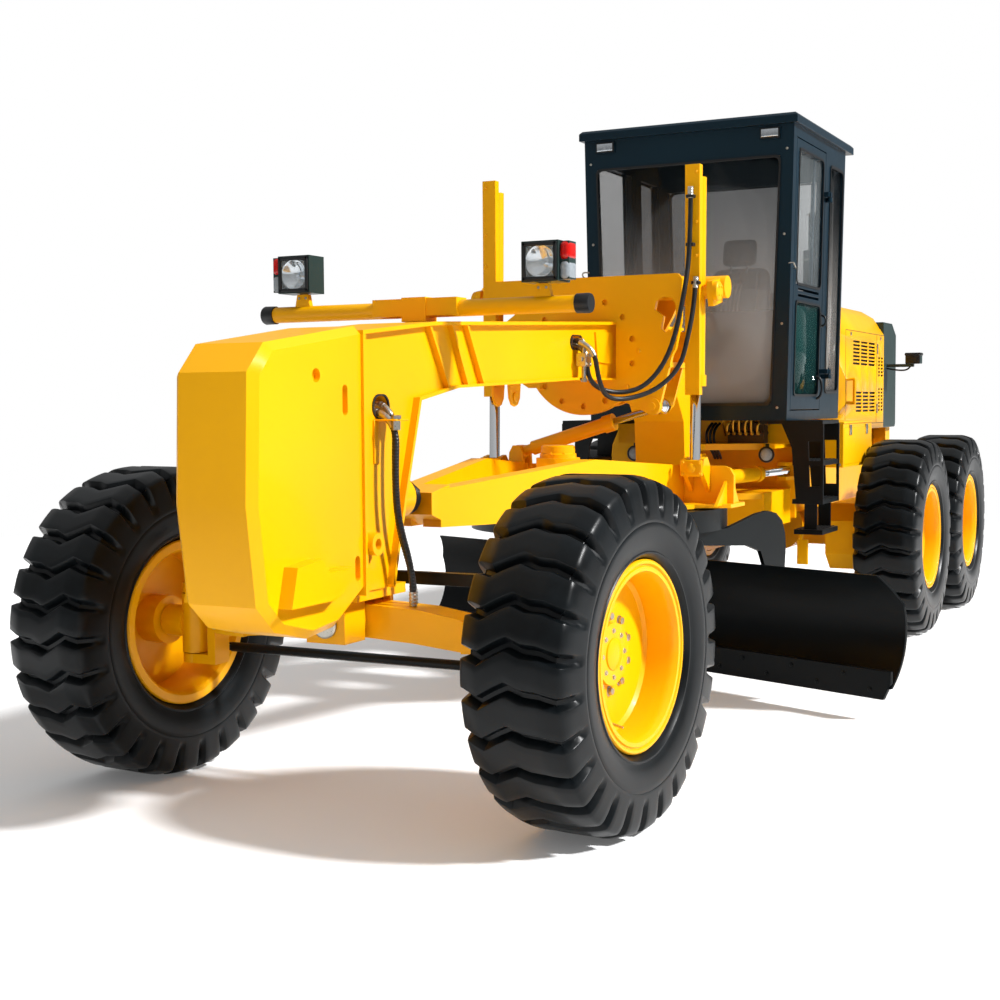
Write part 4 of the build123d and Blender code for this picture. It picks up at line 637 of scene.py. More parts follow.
def makeLamps():
    look = {"x": 612, "y": 452, "z": 2200, "half": 72, "bowl": 62, "depth": 30, "ribs": 9, "rib pitch": 11,
            "cable radius": 7}
    u = np.linspace(0, 1, 10)
    # reflector bowl: depth x (1 - u squared) behind its rim at radius u x bowl
    bowl = [(36, 1)] + [(look["depth"] * (1 - v * v) + 4, max(1.0, look["bowl"] * v)) for v in u]
    bowl += [(2, 66), (38, 66)]
    for name, s in sides:
        x, y, z, half = s * look["x"], look["y"], look["z"], look["half"]
        Piece().add(turned(bowl, (x, y, z), (0, 1, 0), 40)).make(
            "LampBowl_" + name, mirrored, "front_frame", 50)
        Piece().add(turned([(8, 1), (8, 9), (24, 10), (30, 10)], (x, y, z), (0, 1, 0), 16)).make(
            "LampBulb_" + name, mirrored, "front_frame")
        frameIn, frameOut = half - 9, half + 6
        bezel = Piece()
        for w, d in ((1, 0), (-1, 0), (0, 1), (0, -1)):
            low = (x + w * frameIn if w else x - frameOut, y - 7, z + d * frameIn if d else z - frameOut)
            high = (x + w * frameOut if w else x + frameOut, y + 3, z + d * frameOut if d else z + frameOut)
            bezel.add(roundBox(low, high, 3))
        bezel.make("LampBezel_" + name, blackPlastic, "front_frame")
        Piece().add(roundBox((x - frameIn, y - 3, z - frameIn), (x + frameIn, y + 1, z + frameIn), 1.5)).make(
            "LampLens_" + name, lampGlass, "front_frame")
        for title, material, low, high in (("MarkerRed_", redAcrylic, 2, 80),
                                           ("MarkerClear_", clearAcrylic, -78, -1)):
            Piece().add(roundBox((s * 694, y + 12, z + low), (s * 739, y + 98, z + high), 18, 5)).make(
                title + name, material, "front_frame", 60)
        cap = turned([(0, 41), (54, 42), (62, 38), (63, 5)], (s * 754, 516, 2025), (s, 0, 0), 32)
        Piece().add(cap).make("BarCap_" + name, blackPlastic, "front_frame")
        foot = Piece().add(pin((s * 600, 516, 2100), (s * 600, 516, 2120), 12), *[
            pin((s * 600 + dx, 500, 2096), (s * 600 + dx, 532, 2096), 6) for dx in (-18, 18)])
        foot.make("LampFoot_" + name, zincSteel, "front_frame")
        # cab header lamp: a ribbed lens in a dark frame
        Piece().add(roundBox((s * 488, 3900, 3238), (s * 612, 3909, 3302), 4)).make(
            "CabLampFrame_" + name, blackPlastic, "rear_frame")
        ribs = Piece().add(roundBox((s * 496, 3896, 3246), (s * 604, 3901, 3294), 3))
        spots = [(s * (506 + look["rib pitch"] * k), 3896, 3270) for k in range(look["ribs"])]
        ribs.add(roundBox((-3, -1.5, -23), (3, 1.5, 23), 1.4), places=spots)
        ribs.make("CabLampLens_" + name, mirrored, "rear_frame")
        # rear lamp: red and clear lens in its housing, with a cable below
        for title, material, start in (("RearLampRed_", redAcrylic, 668),
                                       ("RearLampClear_", clearAcrylic, 722)):
            Piece().add(roundBox((s * start, 7499, 1932), (s * (start + 50), 7506, 2003), 4)).make(
                title + name, material, "rear_frame")
        Piece().add(roundBox((s * 652, 7404, 1990), (s * 788, 7498, 2016), 10),
                    roundBox((s * 660, 7396, 1924), (s * 780, 7412, 2000), 7)).make(
            "RearLampHood_" + name, blackPlastic, "rear_frame")
        cable = pipe([(s * 700, 7450, 1930), (s * 690, 7450, 1880), (s * 600, 7455, 1868),
                      (s * 500, 7460, 1890)], look["cable radius"])
        Piece().add(cable).make("RearLampCable_" + name, hoseRubber, "rear_frame")


makeLamps()
print("stage: lamps")


# Hoses with their spiral guards and fittings

def makeHoses():
    legRoutes = (
        ((100.3, -48, 1618), (214, -48, 1618), (216, -66, 1300), (218, -45, 1130), (232, 20, 960),
         (238, 40, 880), (238, 40, 805.5)),
        ((100.3, -100, 1590), (250, -100, 1590), (246, -112, 1300), (246, -90, 1150), (262, -30, 980),
         (268, -20, 880), (268, -20, 804)))
    beamRoutes = (
        ((600, 2326, 2740), (600, 2322, 2420), (590, 2258, 2180), (545, 2200, 1900), (480, 2130, 1750),
         (390, 2070, 1672), (270, 1960, 1668), (215, 1850, 1735), (215, 1848, 1912), (100.3, 1848, 1912)),
        ((630, 2326, 2270), (628, 2306, 2130), (612, 2256, 1960), (585, 2215, 1800), (500, 2130, 1690),
         (400, 2040, 1640), (310, 1940, 1630), (285, 1850, 1690), (265, 1808, 1936), (100.3, 1808, 1936)))
    look = {"radius": 12.5, "guard pitch": 13, "guard height": 1.6, "sleeve": 60, "sleeve radius": 15.5,
            "bend radius": 14.5, "bend points": 28, "spacing": 2.0}
    step = look["spacing"]
    for name, routes, node, guarded in (("LegHoses", legRoutes, "leg_hoses", True),
                                        ("BeamHoses", beamRoutes, "beam_hoses", False)):
        rubber, metal = Piece(), Piece()
        for route in routes:
            line = smoothLine(route, step)
            run = step * np.arange(len(line))
            wave = 0.5 + 0.5 * np.cos(2 * pi * run / look["guard pitch"])
            ridge = look["guard height"] * wave if guarded else 0.0
            rubber.add(tube(line, look["radius"] + ridge, 14))
            count = int(look["sleeve"] / step)
            for end in (line[:count + 1], line[-count - 1:]):
                grip = look["sleeve radius"] + np.cos(2 * pi * np.arange(len(end)) * 2 / 14)
                metal.add(tube(end, grip, 16))
            # a metal elbow where the line bends most
            corner = np.argmax(np.linalg.norm(np.diff(line, 2, axis=0), axis=1)) + 1
            bend = line[max(0, corner - look["bend points"]):corner + look["bend points"]]
            metal.add(tube(bend, look["bend radius"], 16))
        rubber.make(name, hoseRubber, "front_frame", 60, slotName="hose_rubber", replaced=(node,))
        metal.make(name + "Fittings", zincSteel, "front_frame", 50)


makeHoses()


def makeBeamFittings():
    # Valve block below the beam's oval window, the leg's hose bracket and grommets, the lugs under the beam
    look = {"grommets": ((1800, 1878, 1924, 38), (-90, -62, 1605, 50)), "grommet width": 0.14,
            "lug": ((1290, 1712), (1300, 1640), (1325, 1608), (1355, 1600), (1385, 1608), (1410, 1640),
                    (1420, 1714)),
            "clips": ((600, 2690), (600, 2440), (630, 2240))}
    block = Piece().add(roundBox((178, 1796, 1800), (232, 1866, 1868), 3))
    block.add(pin((206, 1831, 1868), (206, 1831, 1905), 13), pin((206, 1831, 1735), (206, 1831, 1800), 12),
              pin((206, 1831, 1722), (206, 1831, 1740), 16), pin((206, 1780, 1838), (206, 1796, 1838), 12))
    block.add(pipe([(206, 1831, 1900), (206, 1831, 1935), (180, 1836, 1940), (120, 1840, 1930)], 9))
    block.add(*bolt(6, 6), places=[(232, y, z) for z in (1812, 1856) for y in (1806, 1856)])
    block.make("BeamValve", zincSteel, "front_frame")
    lugs = Piece()
    for s in (-1, 1):
        lugs.add(plate(look["lug"], s * 38, s * 50))
        lugs.add(turned([(0, 26), (6, 26), (7, 24)], (s * 50, 1355, 1645), (s, 0, 0)))
    lugs.make("BeamLugs", yellowEnamel, "front_frame", bevel=2)
    for name, s in sides:
        rims = Piece()
        for y0, y1, z, radius in look["grommets"]:
            # a long round hole's edge, and the section's four corners as that edge moved and drawn in
            t = np.linspace(0, 2 * pi, 48, endpoint=False)
            shift = (y1 - y0) / 2 * np.sign(np.cos(t))
            edge = np.stack([0 * t, shift + radius * np.cos(t), radius * np.sin(t)], 1)
            inner = 1 - look["grommet width"]
            section = np.array([(s * 158, 1.0), (s * 165, 1.0), (s * 165, inner), (s * 158, inner)])
            points = np.array([0, (y0 + y1) / 2, z]) + edge[None] * section[:, 1][:, None, None]
            points[..., 0] = section[:, 0][:, None]
            rims.add(skin(points, closedRows=True))
        rims.make("WindowGrommets_" + name, blackPlastic, "front_frame")
    bracket = Piece().add(roundBox((160, -130, 1548), (262, -30, 1556), 3),
                          roundBox((160, -136, 1380), (168, -92, 1552), 3))
    bracket.make("LegHoseBracket", yellowEnamel, "front_frame")
    nuts = Piece()
    for x, y in ((214, -52), (249, -104)):
        nuts.add(turned([(0, 19), (14, 19), (15, 17)], (x, y, 1556), (0, 0, 1), 6))
        nuts.add(turned([(0, 18), (-34, 18), (-36, 16)], (x, y - 4, 1548), (0, 0, 1), 6))
    nuts.make("LegHoseNuts", zincSteel, "front_frame", 25)
    clips = Piece()
    for x, z in look["clips"]:
        clips.add(roundBox((x - 22, 2308, z - 9), (x + 22, 2344, z + 9), 4))
    clips.make("GuardHoseClips", blackPlastic, "front_frame")


makeBeamFittings()


def makeBellows():
    # Rubber bellows over the ball: radius falls from the socket to the neck, with a cosine wave of folds
    look = {"from": 320, "to": 436, "radii": (82, 50), "folds": 6, "fold": 8, "z": (1219, 1201)}
    u = np.linspace(0, 1, 90)
    radius = np.interp(u, (0, 1), look["radii"]) + look["fold"] * np.cos(2 * pi * look["folds"] * u)
    path = np.stack([0 * u, np.interp(u, (0, 1), (look["from"], look["to"])),
                     np.interp(u, (0, 1), look["z"])], 1)
    piece = Piece().add(tube(path, radius, 40)).make("BallBellows", hoseRubber, None, 60)
    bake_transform(piece)


makeBellows()
print("stage: hoses")


# Fasteners and covers on the front frame, drawbar, circle and blade

def makeFrontFittings():
    look = {"saddle bolts": 10, "saddle circle": 322, "guard bolts z": (2822, 2560, 2385), "cap circle": 32,
            "kingpin circle": 28, "drive bolts": 8, "drive circle": 84, "four": (0.8, 2.36, 3.93, 5.5)}
    saddle = ring(evenly(look["saddle bolts"]), look["saddle circle"], (0, 2290, 1890), "xz")
    keep = (np.abs(saddle[:, 0]) > 205) & (saddle[:, 2] < 2000)   # clear of the beam and of the windows
    bolts = Piece().add(*bolt(11, 10, (0, -1, 0)), places=saddle[keep])
    bolts.add(*bolt(9, 9, (0, -1, 0)), places=[(s * x, 2290, z) for s in (-1, 1)
                                               for x, z in ((470, 1850), (530, 1960))])
    bolts.make("FrameBolts", yellowEnamel, "front_frame", 30)
    for name, s in sides:
        studs = Piece().add(*bolt(7, 8, (0, -1, 0)),
                            places=[(s * 622, 2352, z) for z in look["guard bolts z"]])
        studs.make("GuardBolts_" + name, yellowEnamel, "lift_barrel_" + name, 30)
    for name, s in sides:
        x = s * 600
        cover = Piece().add(roundBox((x - 62, 2334, 1222), (x + 62, 2350, 1312), 8))
        cover.add(*bolt(9, 9, (0, -1, 0)),
                  places=[(x + dx, 2334, 1267 + dz) for dx in (-46, 46) for dz in (-30, 30)])
        cover.add(turned([(0, 26), (-10, 25), (-16, 14), (-17, 1)], (x, 2334, 1267), (0, 1, 0), 24))
        cover.make("LiftEyeCover_" + name, yellowEnamel, "drawbar", 30)
        collar = Piece().add(turned([(0, 50), (8, 52), (26, 52), (32, 44)], (s * 700, 2420, 2200), (s, 0, 0)))
        collar.add(*bolt(7, 7, (s, 0, 0)),
                   places=ring(look["four"], look["cap circle"], (s * 730, 2420, 2200)))
        collar.make("TrunnionCap_" + name, yellowEnamel, "front_frame", 30)
        cap = Piece().add(turned([(0, 44), (8, 44), (12, 38), (13, 1)], (s * 840, 0, 850), (0, 0, 1), 28))
        cap.add(*bolt(6, 6, (0, 0, 1)),
                places=ring(look["four"], look["kingpin circle"], (s * 840, 0, 858), "xy"))
        cap.make("KingpinCap_" + name, yellowEnamel, "knuckle_" + name, 30)
    heads = Piece()
    for s in (-1, 1):
        for y, way in ((-98, -1), (98, 1)):
            heads.add(turned([(0, 34), (8, 34), (11, 30), (11, 1)], (s * 660, y, 700), (0, way, 0), 24))
    heads.add(turned([(0, 54), (10, 54), (14, 48), (14, 1)], (0, -250, 745), (0, -1, 0), 32))
    heads.make("AxlePinHeads", zincSteel, "front_frame", 30)
    motor = Piece().add(turned([(0, 96), (20, 96), (24, 90), (60, 88), (66, 80), (66, 1)], (0, 1960, 1330),
                               (0, 0, 1), 40))
    motor.add(*bolt(9, 9, (0, 0, 1)),
              places=ring(evenly(look["drive bolts"]), look["drive circle"], (0, 1960, 1352), "xy"))
    motor.make("CircleDriveCover", yellowEnamel, "drawbar", 30)
    shoes = Piece()
    spots = np.array([(x, y, 1076) for x in (480, 530) for y in (-36, 36)], float)
    for angle in (45, 135, 225, 315):
        shoes.add(*bolt(11, 11, (0, 0, 1)), places=spots @ aboutZ(radians(angle)).T + (0, circleY, 0))
    shoes.make("ShoeBolts", yellowEnamel, "drawbar", 30)


makeFrontFittings()


def makeBladeFittings():
    # Bolt rows through the cutting edge and the circle's teeth, in the circle's own turned frame: X along
    # the blade, Y backwards
    look = {"bolts": 22, "half": 1700, "shift": -221, "low": 150, "high": 215, "face": 438, "teeth": 72,
            "tooth circle": 562}
    place = (aboutZ(circleTurn), np.array([0, circleY, 0.0]))
    x = np.linspace(-look["half"], look["half"], look["bolts"]) + look["shift"]
    z = np.where(np.arange(look["bolts"]) % 2, look["low"], look["high"])
    edge = Piece().add(*bolt(11, 7, (0, -1, 0)), places=np.stack([x, 0 * x + look["face"] + 1, z], 1))
    edge.make("CuttingEdgeBolts", bladeEnamel, "moldboard", 30, place=place)
    teeth = Piece().add(pin((0, 0, -13), (0, 0, 13), 13, 2, 8),
                        places=ring(evenly(look["teeth"]), look["tooth circle"], (0, 0, 1031), "xy"))
    teeth.make("CircleTeeth", zincSteel, "circle", 40, place=place)


makeBladeFittings()
print("stage: fittings")


# Cab: window rubbers, handles, screws, levers and the padded seat

def cabSide(z):
    # Half width of the tapered cab at a height
    return 660 + (np.asarray(z, float) - 1500) * 40 / 1820


def onSide(s):
    # Puts an outline of (y, z) on the cab's left or right wall
    return lambda p, d: np.stack([s * (cabSide(p[:, 1]) + 1 + d), p[:, 0], p[:, 1]], 1)


def onEnd(y, way):
    # Puts an outline of (x, z) on the cab's front or rear wall
    return lambda p, d: np.stack([p[:, 0], 0 * p[:, 0] + y + way * d, p[:, 1]], 1)


def windowRubber(corners, inset, width, thickness, toPoint):
    # A rubber strip along a four-sided opening with rounded corners: its section's five corners are outlines
    # with other insets and depths, joined into a ring
    corners = np.asarray(corners, float)
    centre = corners.mean(0)
    t = np.linspace(0, 1, 13)[:-1, None]
    runs = []
    for k in range(4):
        a, b, c = corners[k - 1], corners[k], corners[(k + 1) % 4]
        start, end = b + (a - b) / np.linalg.norm(a - b) * 45, b + (c - b) / np.linalg.norm(c - b) * 45
        runs.append((1 - t) ** 2 * start + 2 * t * (1 - t) * b + t ** 2 * end)
    line = np.concatenate(runs)
    inward = (centre - line) / np.linalg.norm(centre - line, axis=1, keepdims=True)
    section = ((0, 0), (0, thickness), (width * 0.5, thickness * 1.3), (width, thickness), (width, 0))
    rows = [toPoint(line + inward * (inset + w), d) for w, d in section]
    return skin(np.stack(rows), closedRows=True)


def makeCab():
    look = {"rubber": (-8, 20, 6), "door rubber": (-6, 17, 5), "lever x": (203, 245, 282, 318, 352),
            "rod x": (202, 282, 316, 353), "lever radius": 6, "rod radius": 5,
            "screws": ((600, 1580), (628, 2100), (640, 2650), (655, 3170))}
    rubber = Piece()
    front = [(-560, 1600), (560, 1600), (614, 3130), (-614, 3130)]
    rear = [(-560, 2380), (560, 2380), (580, 3130), (-580, 3130)]
    quarter = [(4800, 1680), (5130, 1680), (5130, 3180), (4800, 3180)]
    for corners, toPoint in ((front, onEnd(3919, -1)), (rear, onEnd(5191, 1)), (quarter, onSide(1)),
                             (quarter, onSide(-1))):
        rubber.add(windowRubber(corners, *look["rubber"], toPoint))
    rubber.make("WindowRubber", blackPlastic, "rear_frame", 45)
    for name, s in sides:
        strip, handle = Piece(), Piece()
        for z0, z1 in ((1656, 2248), (2352, 3189)):
            corners = [(4051, z0), (4629, z0), (4629, z1), (4051, z1)]
            strip.add(windowRubber(corners, *look["door rubber"], onSide(s)))
        strip.make("DoorRubber_" + name, blackPlastic, "cab_door_" + name, 45)
        x = float(cabSide(2160))
        handle.add(roundBox((s * (x - 4), 4640, 2105), (s * (x + 6), 4678, 2205), 5))
        handle.add(pipe([(s * (x + 2), 4660, 2185), (s * (x + 34), 4656, 2182), (s * (x + 38), 4655, 2120),
                         (s * (x + 8), 4660, 2116)], 7))
        handle.make("DoorHandle_" + name, blackPlastic, "cab_door_" + name)
        x = float(cabSide(1710))
        rail = pipe([(s * (x - 6), 4606, 1780), (s * (x + 34), 4606, 1782), (s * (x + 36), 4606, 1640),
                     (s * (x - 6), 4606, 1636)], 8)
        Piece().add(rail).make("DoorGrab_" + name, blackPlastic, "cab_door_" + name)
        hook = pipe([(s * 670, 3922, 2470), (s * 705, 3905, 2476), (s * 712, 3900, 2452),
                     (s * 712, 3938, 2436), (s * 690, 3950, 2438)], 5)
        Piece().add(hook).make("CornerHook_" + name, zincSteel, "rear_frame")
    screws = Piece().add(*bolt(6, 5, (0, -1, 0)), places=[(s * x, 3918, z) for s in (-1, 1)
                                                         for x, z in look["screws"]])
    screws.make("CabScrews", zincSteel, "rear_frame", 30)
    levers, knobs = Piece(), Piece()
    for s in (-1, 1):
        for x in look["lever x"]:
            bent = [(s * x * 0.72, 4180, 2170), (s * x * 0.74, 4178, 2300), (s * x * 0.8, 4210, 2390)]
            levers.add(pipe(bent, look["lever radius"]))
            knobs.add(turned([(-20, 8), (-8, 17), (6, 20), (18, 14), (22, 1)], (s * x * 0.8, 4210, 2392),
                             (0, 0.3, 1), 16))
        for x in look["rod x"]:
            # the control rods that run down in front of the lever boxes
            levers.add(pin((s * x * 0.85, 4112, 1600), (s * x * 0.85, 4112, 2190), look["rod radius"], 1, 10))
            levers.add(pin((s * x * 0.85, 4106, 2180), (s * x * 0.85, 4124, 2180), 8, 1, 10))
    levers.make("LeverRods", zincSteel, "rear_frame")
    knobs.make("LeverKnobs", blackPlastic, "rear_frame")
    dash = Piece().add(roundBox((-170, 4150, 2290), (170, 4215, 2400), 20))
    dash.add(turned([(0, 34), (6, 36), (10, 30), (10, 1)], (0, 4196, 2356), (0, 0.8, 0.5), 24))
    dash.make("DashPod", blackPlastic, "rear_frame")


makeCab()


def padShape(low, high, soften, rows=26, cols=40):
    # A crowned pad: superellipse rings (|cos|, |sin| to a power) stacked along Z, swelling in the middle
    low, high = np.asarray(low, float), np.asarray(high, float)
    middle, half = (low + high) / 2, (high - low) / 2
    u = np.linspace(-1, 1, rows)[:, None]
    t = np.linspace(0, 2 * pi, cols, endpoint=False)[None]
    size = 0.04 + 0.96 * np.clip(1 - np.abs(u) ** soften, 0, 1) ** (1 / soften)
    x, y = (middle[k] + half[k] * size * (np.abs(wave) ** 0.35 * np.sign(wave))
            for k, wave in enumerate((np.cos(t), np.sin(t))))
    return skin(np.stack([x, y, np.broadcast_to(middle[2] + half[2] * u, x.shape)], -1))


def swell(piece, look):
    # Voxel remesh, cloth pressure without gravity for 20 frames, and a cap on how far a point may move
    mesh = piece.data
    remesh = piece.modifiers.new("Remesh", "REMESH")
    remesh.mode, remesh.voxel_size = "VOXEL", look["voxel"]
    depsgraph = bpy.context.evaluated_depsgraph_get()
    fresh = bpy.data.meshes.new_from_object(piece.evaluated_get(depsgraph))
    piece.modifiers.clear()
    piece.data = fresh
    count = len(fresh.vertices)
    before = np.empty(count * 3)
    fresh.vertices.foreach_get("co", before)
    cloth = piece.modifiers.new("Cloth", "CLOTH")
    cloth.settings.use_pressure = True
    cloth.settings.uniform_pressure_force = look["pressure"]
    cloth.settings.quality = 5
    cloth.settings.effector_weights.gravity = 0
    cloth.point_cache.frame_start, cloth.point_cache.frame_end = 1, look["frames"]
    for step in range(1, look["frames"] + 1):
        bpy.context.scene.frame_set(step)
    depsgraph = bpy.context.evaluated_depsgraph_get()
    after = np.empty(count * 3)
    piece.evaluated_get(depsgraph).to_mesh().vertices.foreach_get("co", after)
    piece.modifiers.clear()
    bpy.context.scene.frame_set(1)
    move = (after - before).reshape(-1, 3)
    far = np.linalg.norm(move, axis=1, keepdims=True)
    move *= np.minimum(1, look["cap"] / np.maximum(far, 1e-9))
    fresh.vertices.foreach_set("co", (before + move.ravel()))
    fresh.update()
    bpy.data.meshes.remove(mesh)


def sewChannels(piece, spots, width, depth, facing):
    # Channels sewn along Y at places in X: each presses the surface in along its normal by depth times
    # exp(-(distance / width) squared)
    mesh = piece.data
    co, normal = np.empty(len(mesh.vertices) * 3), np.empty(len(mesh.vertices) * 3)
    mesh.vertices.foreach_get("co", co)
    mesh.vertex_normals.foreach_get("vector", normal)
    co, normal = co.reshape(-1, 3), normal.reshape(-1, 3)
    away = np.min(np.abs(co[:, 0, None] - np.asarray(spots)[None]), axis=1)
    shown = np.clip(normal @ np.asarray(facing, float), 0, 1)
    co -= normal * (depth * shown * np.exp(-(away / width) ** 2))[:, None]
    mesh.vertices.foreach_set("co", co.ravel())
    mesh.update()


def makeSeat():
    look = {"voxel": 0.006, "pressure": 4.0, "frames": 20, "cap": 0.012, "channel": (0.007, 0.009), "lean": 9,
            "roundness": 2.6}
    lean = radians(look["lean"])
    back = np.array([[1, 0, 0], [0, cos(lean), sin(lean)], [0, -sin(lean), cos(lean)]])
    # name, low and high corner, place, the side that faces the operator, channels in metres, replaced nodes
    pads = (
        ("CushionPad", (-238, 4512, 1914), (238, 4985, 2020), None, (0, 0, 1), (-0.15, 0, 0.15), ("seat",)),
        ("BackrestPad", (-228, -50, 0), (228, 50, 545), (back, np.array([0, 4985, 2028.0])), (0, -1, 0),
         (-0.14, 0, 0.14), ()),
        ("HeadrestPad", (-122, -42, 0), (122, 42, 190), (back, np.array([0, 5018, 2566.0])), (0, -1, 0),
         (), ()))
    for name, low, high, place, facing, channels, replaced in pads:
        if place is None:
            shape = padShape(low, high, look["roundness"])
        else:
            # stood up: the pad's short side points forward
            points, faces = padShape((low[0], -high[2] / 2, low[1]), (high[0], high[2] / 2, high[1]),
                                     look["roundness"])
            shape = (np.stack([points[:, 0], points[:, 2], points[:, 1] + high[2] / 2], 1), faces)
        piece = Piece().add(shape).make(name, seatCloth, "rear_frame", 60, slotName="seat_cloth",
                                        replaced=replaced, place=place)
        swell(piece, look)
        piece.data.materials.clear()
        piece.data.materials.append(seatCloth)
        piece.data.shade_smooth()
        if channels:
            sewChannels(piece, channels, *look["channel"], facing)
        soften = piece.modifiers.new("Subdivision", "SUBSURF")
        soften.levels = soften.render_levels = 1
    stalks = Piece()
    for x in (-60, 60):
        stalks.add(pin((x, 5006, 2520), (x, 5024, 2600), 7))
    stalks.make("HeadrestStalks", zincSteel, "rear_frame")


makeSeat()
print("stage: cab")


# Deck, tool boxes, engine cover and tail

def makeRearFittings():
    look = {"valves": 6, "valve pitch": 40, "pipe radius": 7.5, "return pipes": 4, "return radius": 6.5,
            "hoses": 3, "hose radius": 9, "stud pitch": (24.0, 28.0), "step z": (820, 1010, 1250),
            "case bolts": 12, "case circle": 150}
    pipes, spools = Piece(), Piece()
    for k in range(look["valves"]):
        x, rise = 220 + look["valve pitch"] * k, 1475 + 18 * ((k * 2) % 5)
        pipes.add(pipe([(x, 4122, 1415), (x, 4085, 1415), (x + 6, 4078, rise), (x + 26, 4090, rise + 8),
                        (x + 30, 4170, rise + 6), (x + 30, 4240, rise - 6)], look["pipe radius"]))
        pipes.add(turned([(0, 13), (16, 13), (18, 11)], (x, 4122, 1415), (0, -1, 0), 6))
        spools.add(turned([(0, 16), (28, 16), (32, 12), (40, 12), (42, 9)], (x, 4262, 1415), (0, 1, 0), 20))
        spools.add(*bolt(7, 6, (0, 0, 1)), places=[(x, 4190, 1480), (x, 4236, 1480)])
    for k in range(look["return pipes"]):
        x = 240 + 52 * k
        pipes.add(pipe([(x, 4200, 1478), (x, 4200, 1520), (x - 18, 4140, 1548 + 6 * k), (x - 60, 4120, 1500),
                        (x - 66, 4160, 1440), (x - 66, 4200, 1400)], look["return radius"]))
    pipes.make("ValvePipes", passivated, "rear_frame", 50)
    spools.make("ValveSpools", castIron, "rear_frame", 30)
    hoses = Piece()
    for k in range(look["hoses"]):
        hoses.add(pipe([(150 - 26 * k, 4160, 1480), (120 - 24 * k, 4110, 1440), (130 - 24 * k, 4100, 1340),
                        (150 - 20 * k, 4140, 1290), (150 - 20 * k, 4180, 1250)], look["hose radius"]))
    hoses.make("DeckHoses", hoseRubber, "rear_frame", 60)
    for name, x in (("left", 476), ("right", -427)):
        shell = turned([(0, 30), (6, 50), (22, 52), (26, 48), (26, 42), (20, 40), (20, 1)], (x, 4128, 1280),
                       (0, -1, 0), 36)
        Piece().add(shell, roundBox((x - 12, 4122, 1290), (x + 12, 4134, 1350), 3)).make(
            "DeckLampBody_" + name, blackPlastic, "rear_frame", 35)
        Piece().add(turned([(0, 40), (4, 38), (9, 24), (11, 1)], (x, 4107, 1280), (0, -1, 0))).make(
            "DeckLampLens_" + name, clearAcrylic, "rear_frame", 50)
    for name, s in sides:
        lid = Piece().add(roundBox((s * 502, 4624, 1468), (s * 846, 5436, 1482), 5),
                          roundBox((s * 838, 4640, 1200), (s * 843, 5420, 1440), 3))
        lid.make("BoxLid_" + name, yellowEnamel, "rear_frame")
        latches = Piece()
        for y in (4800, 5260):
            latches.add(roundBox((s * 840, y - 22, 1392), (s * 852, y + 22, 1462), 4),
                        pin((s * 848, y - 16, 1420), (s * 848, y + 16, 1420), 6))
        latches.add(*bolt(6, 5, (0, -1, 0)), places=[(s * 530, 4630, 1200), (s * 815, 4630, 1200)])
        latches.make("BoxLatches_" + name, zincSteel, "rear_frame", 30)
        # anti-slip studs on the step boards
        pitchX, pitchY = look["stud pitch"]
        tread = np.stack(np.meshgrid(s * np.arange(712, 872, pitchX), np.arange(3985, 4330, pitchY),
                                     indexing="ij"), -1).reshape(-1, 2)
        studs = Piece()
        for z in look["step z"]:
            studs.add(turned([(0, 8), (3, 6), (4, 1)], axis=(0, 0, 1), steps=6),
                      places=np.c_[tread, np.full(len(tread), z)])
        studs.make("StepStuds_" + name, blackEnamel, "rear_frame", 30)
        post = Piece().add(roundBox((s * 684, 4088, 588), (s * 752, 4112, 746), 3),
                           roundBox((s * 700, 4088, 740), (s * 720, 4112, 800), 3))
        post.make("StepPost_" + name, yellowEnamel, "rear_frame")
        plug = Piece().add(turned([(0, 22), (6, 22), (8, 18)], (s * 821, 6200, 560), (s, 0, 0), 24))
        plug.add(turned([(6, 12), (18, 12), (20, 9)], (s * 821, 6200, 560), (s, 0, 0), 6))
        for y in wheelBase["rear"]:
            plug.add(*bolt(9, 8, (s, 0, 0)), places=ring(evenly(look["case bolts"]), look["case circle"],
                                                         (s * 820, y, wheelBase["radius"])))
        plug.make("TandemBolts_" + name, yellowEnamel, "rear_frame", 30)


makeRearFittings()


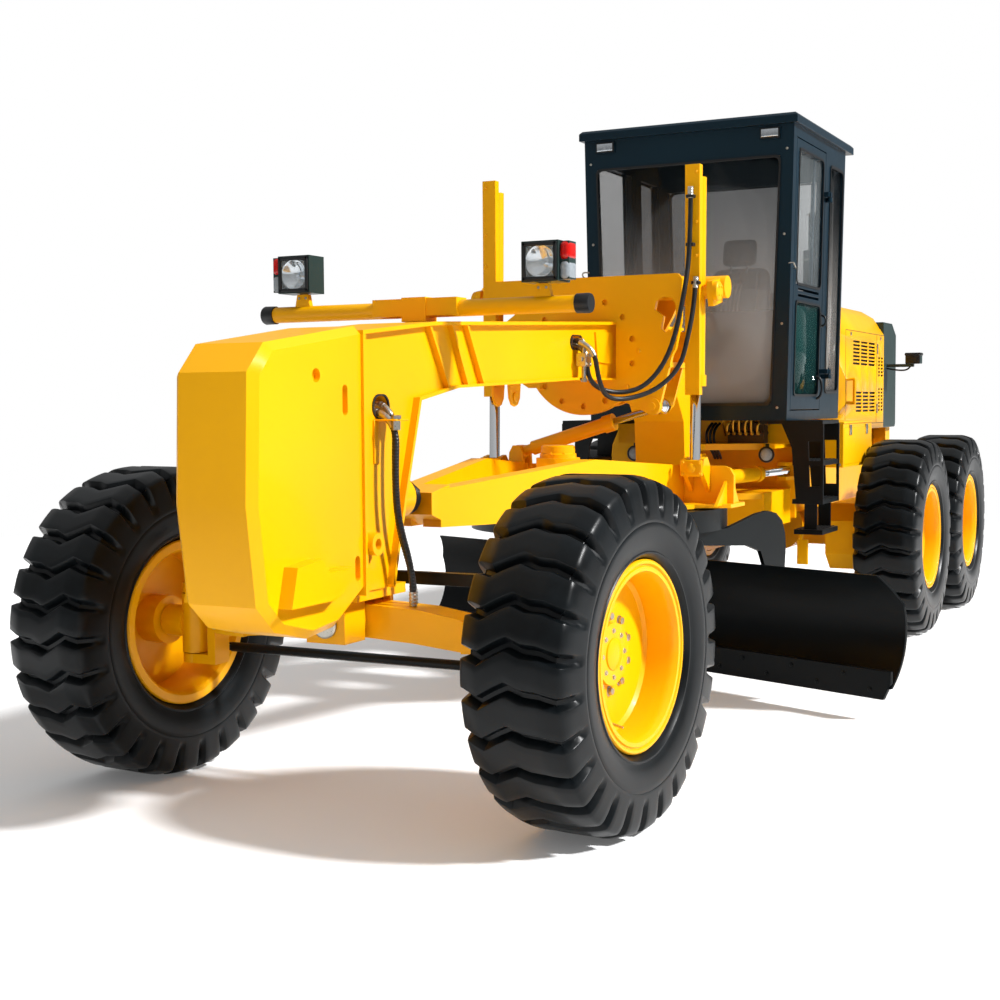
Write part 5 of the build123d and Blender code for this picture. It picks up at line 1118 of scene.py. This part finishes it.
def makeCover():
    # Dark mesh behind the engine cover's slots, its door seams, hinges and latches, and the tail's grille
    look = {"seams": ((6042, 6046, 1440, 2158), (7066, 7070, 1440, 2158), (6042, 7326, 2154, 2158),
                      (6042, 7326, 1440, 1444)),
            "slats": 16, "slat pitch": 42, "grille half": 400}
    for name, s in sides:
        Piece().add(roundBox((s * 478, 6240, 1500), (s * 484, 7315, 2120), 2)).make(
            "VentScreen_" + name, blackPlastic, "rear_frame")
        seams = Piece()
        for y0, y1, z0, z1 in look["seams"]:
            seams.add(roundBox((s * 499, y0, z0), (s * 501.5, y1, z1), 0.8))
        seams.make("DoorSeams_" + name, blackPlastic, "rear_frame")
        latches = Piece()
        for z in (1560, 2040):
            latches.add(pin((s * 504, 7072, z - 40), (s * 504, 7072, z + 40), 8))
        for y in (6200, 7200):
            latches.add(turned([(0, 16), (5, 16), (7, 13), (7, 1)], (s * 500, y, 2130), (s, 0, 0), 20))
        latches.make("CoverLatches_" + name, zincSteel, "rear_frame")
    grille, half = Piece(), look["grille half"]
    for k in range(look["slats"]):
        z = 1480 + look["slat pitch"] * k
        grille.add(plate([(7799, z), (7809, z - 14), (7812, z - 11), (7803, z + 4)], -half, half))
    for x in (-420, 0, 420):
        grille.add(roundBox((x - 16, 7797, 1440), (x + 16, 7815, 2160), 4))
    for z in (1446, 2146):
        grille.add(roundBox((-436, 7797, z - 14), (436, 7815, z + 14), 4))
    grille.make("TailGrille", blackEnamel, "rear_frame", 30)
    cap = Piece().add(turned([(0, 44), (4, 44), (5, 40), (5, 1)], (180, 6300, 3063), (0, -0.35, 1)))
    cap.add(pin((140, 6262, 3052), (220, 6262, 3052), 6))
    for z in (2440, 2700):
        cap.add(turned([(0, 79), (14, 79), (16, 76)], (180, 6300, z), (0, 0, 1), 36))
    cap.make("StackCap", zincSteel, "rear_frame", 35)
    hitch = Piece().add(pin((0, 7855, 985), (0, 7855, 1130), 23),
                        turned([(0, 34), (12, 34), (14, 30)], (0, 7855, 1118), (0, 0, 1), 24))
    hitch.make("HitchPin", zincSteel, "rear_frame")


makeCover()
print("stage: rear")
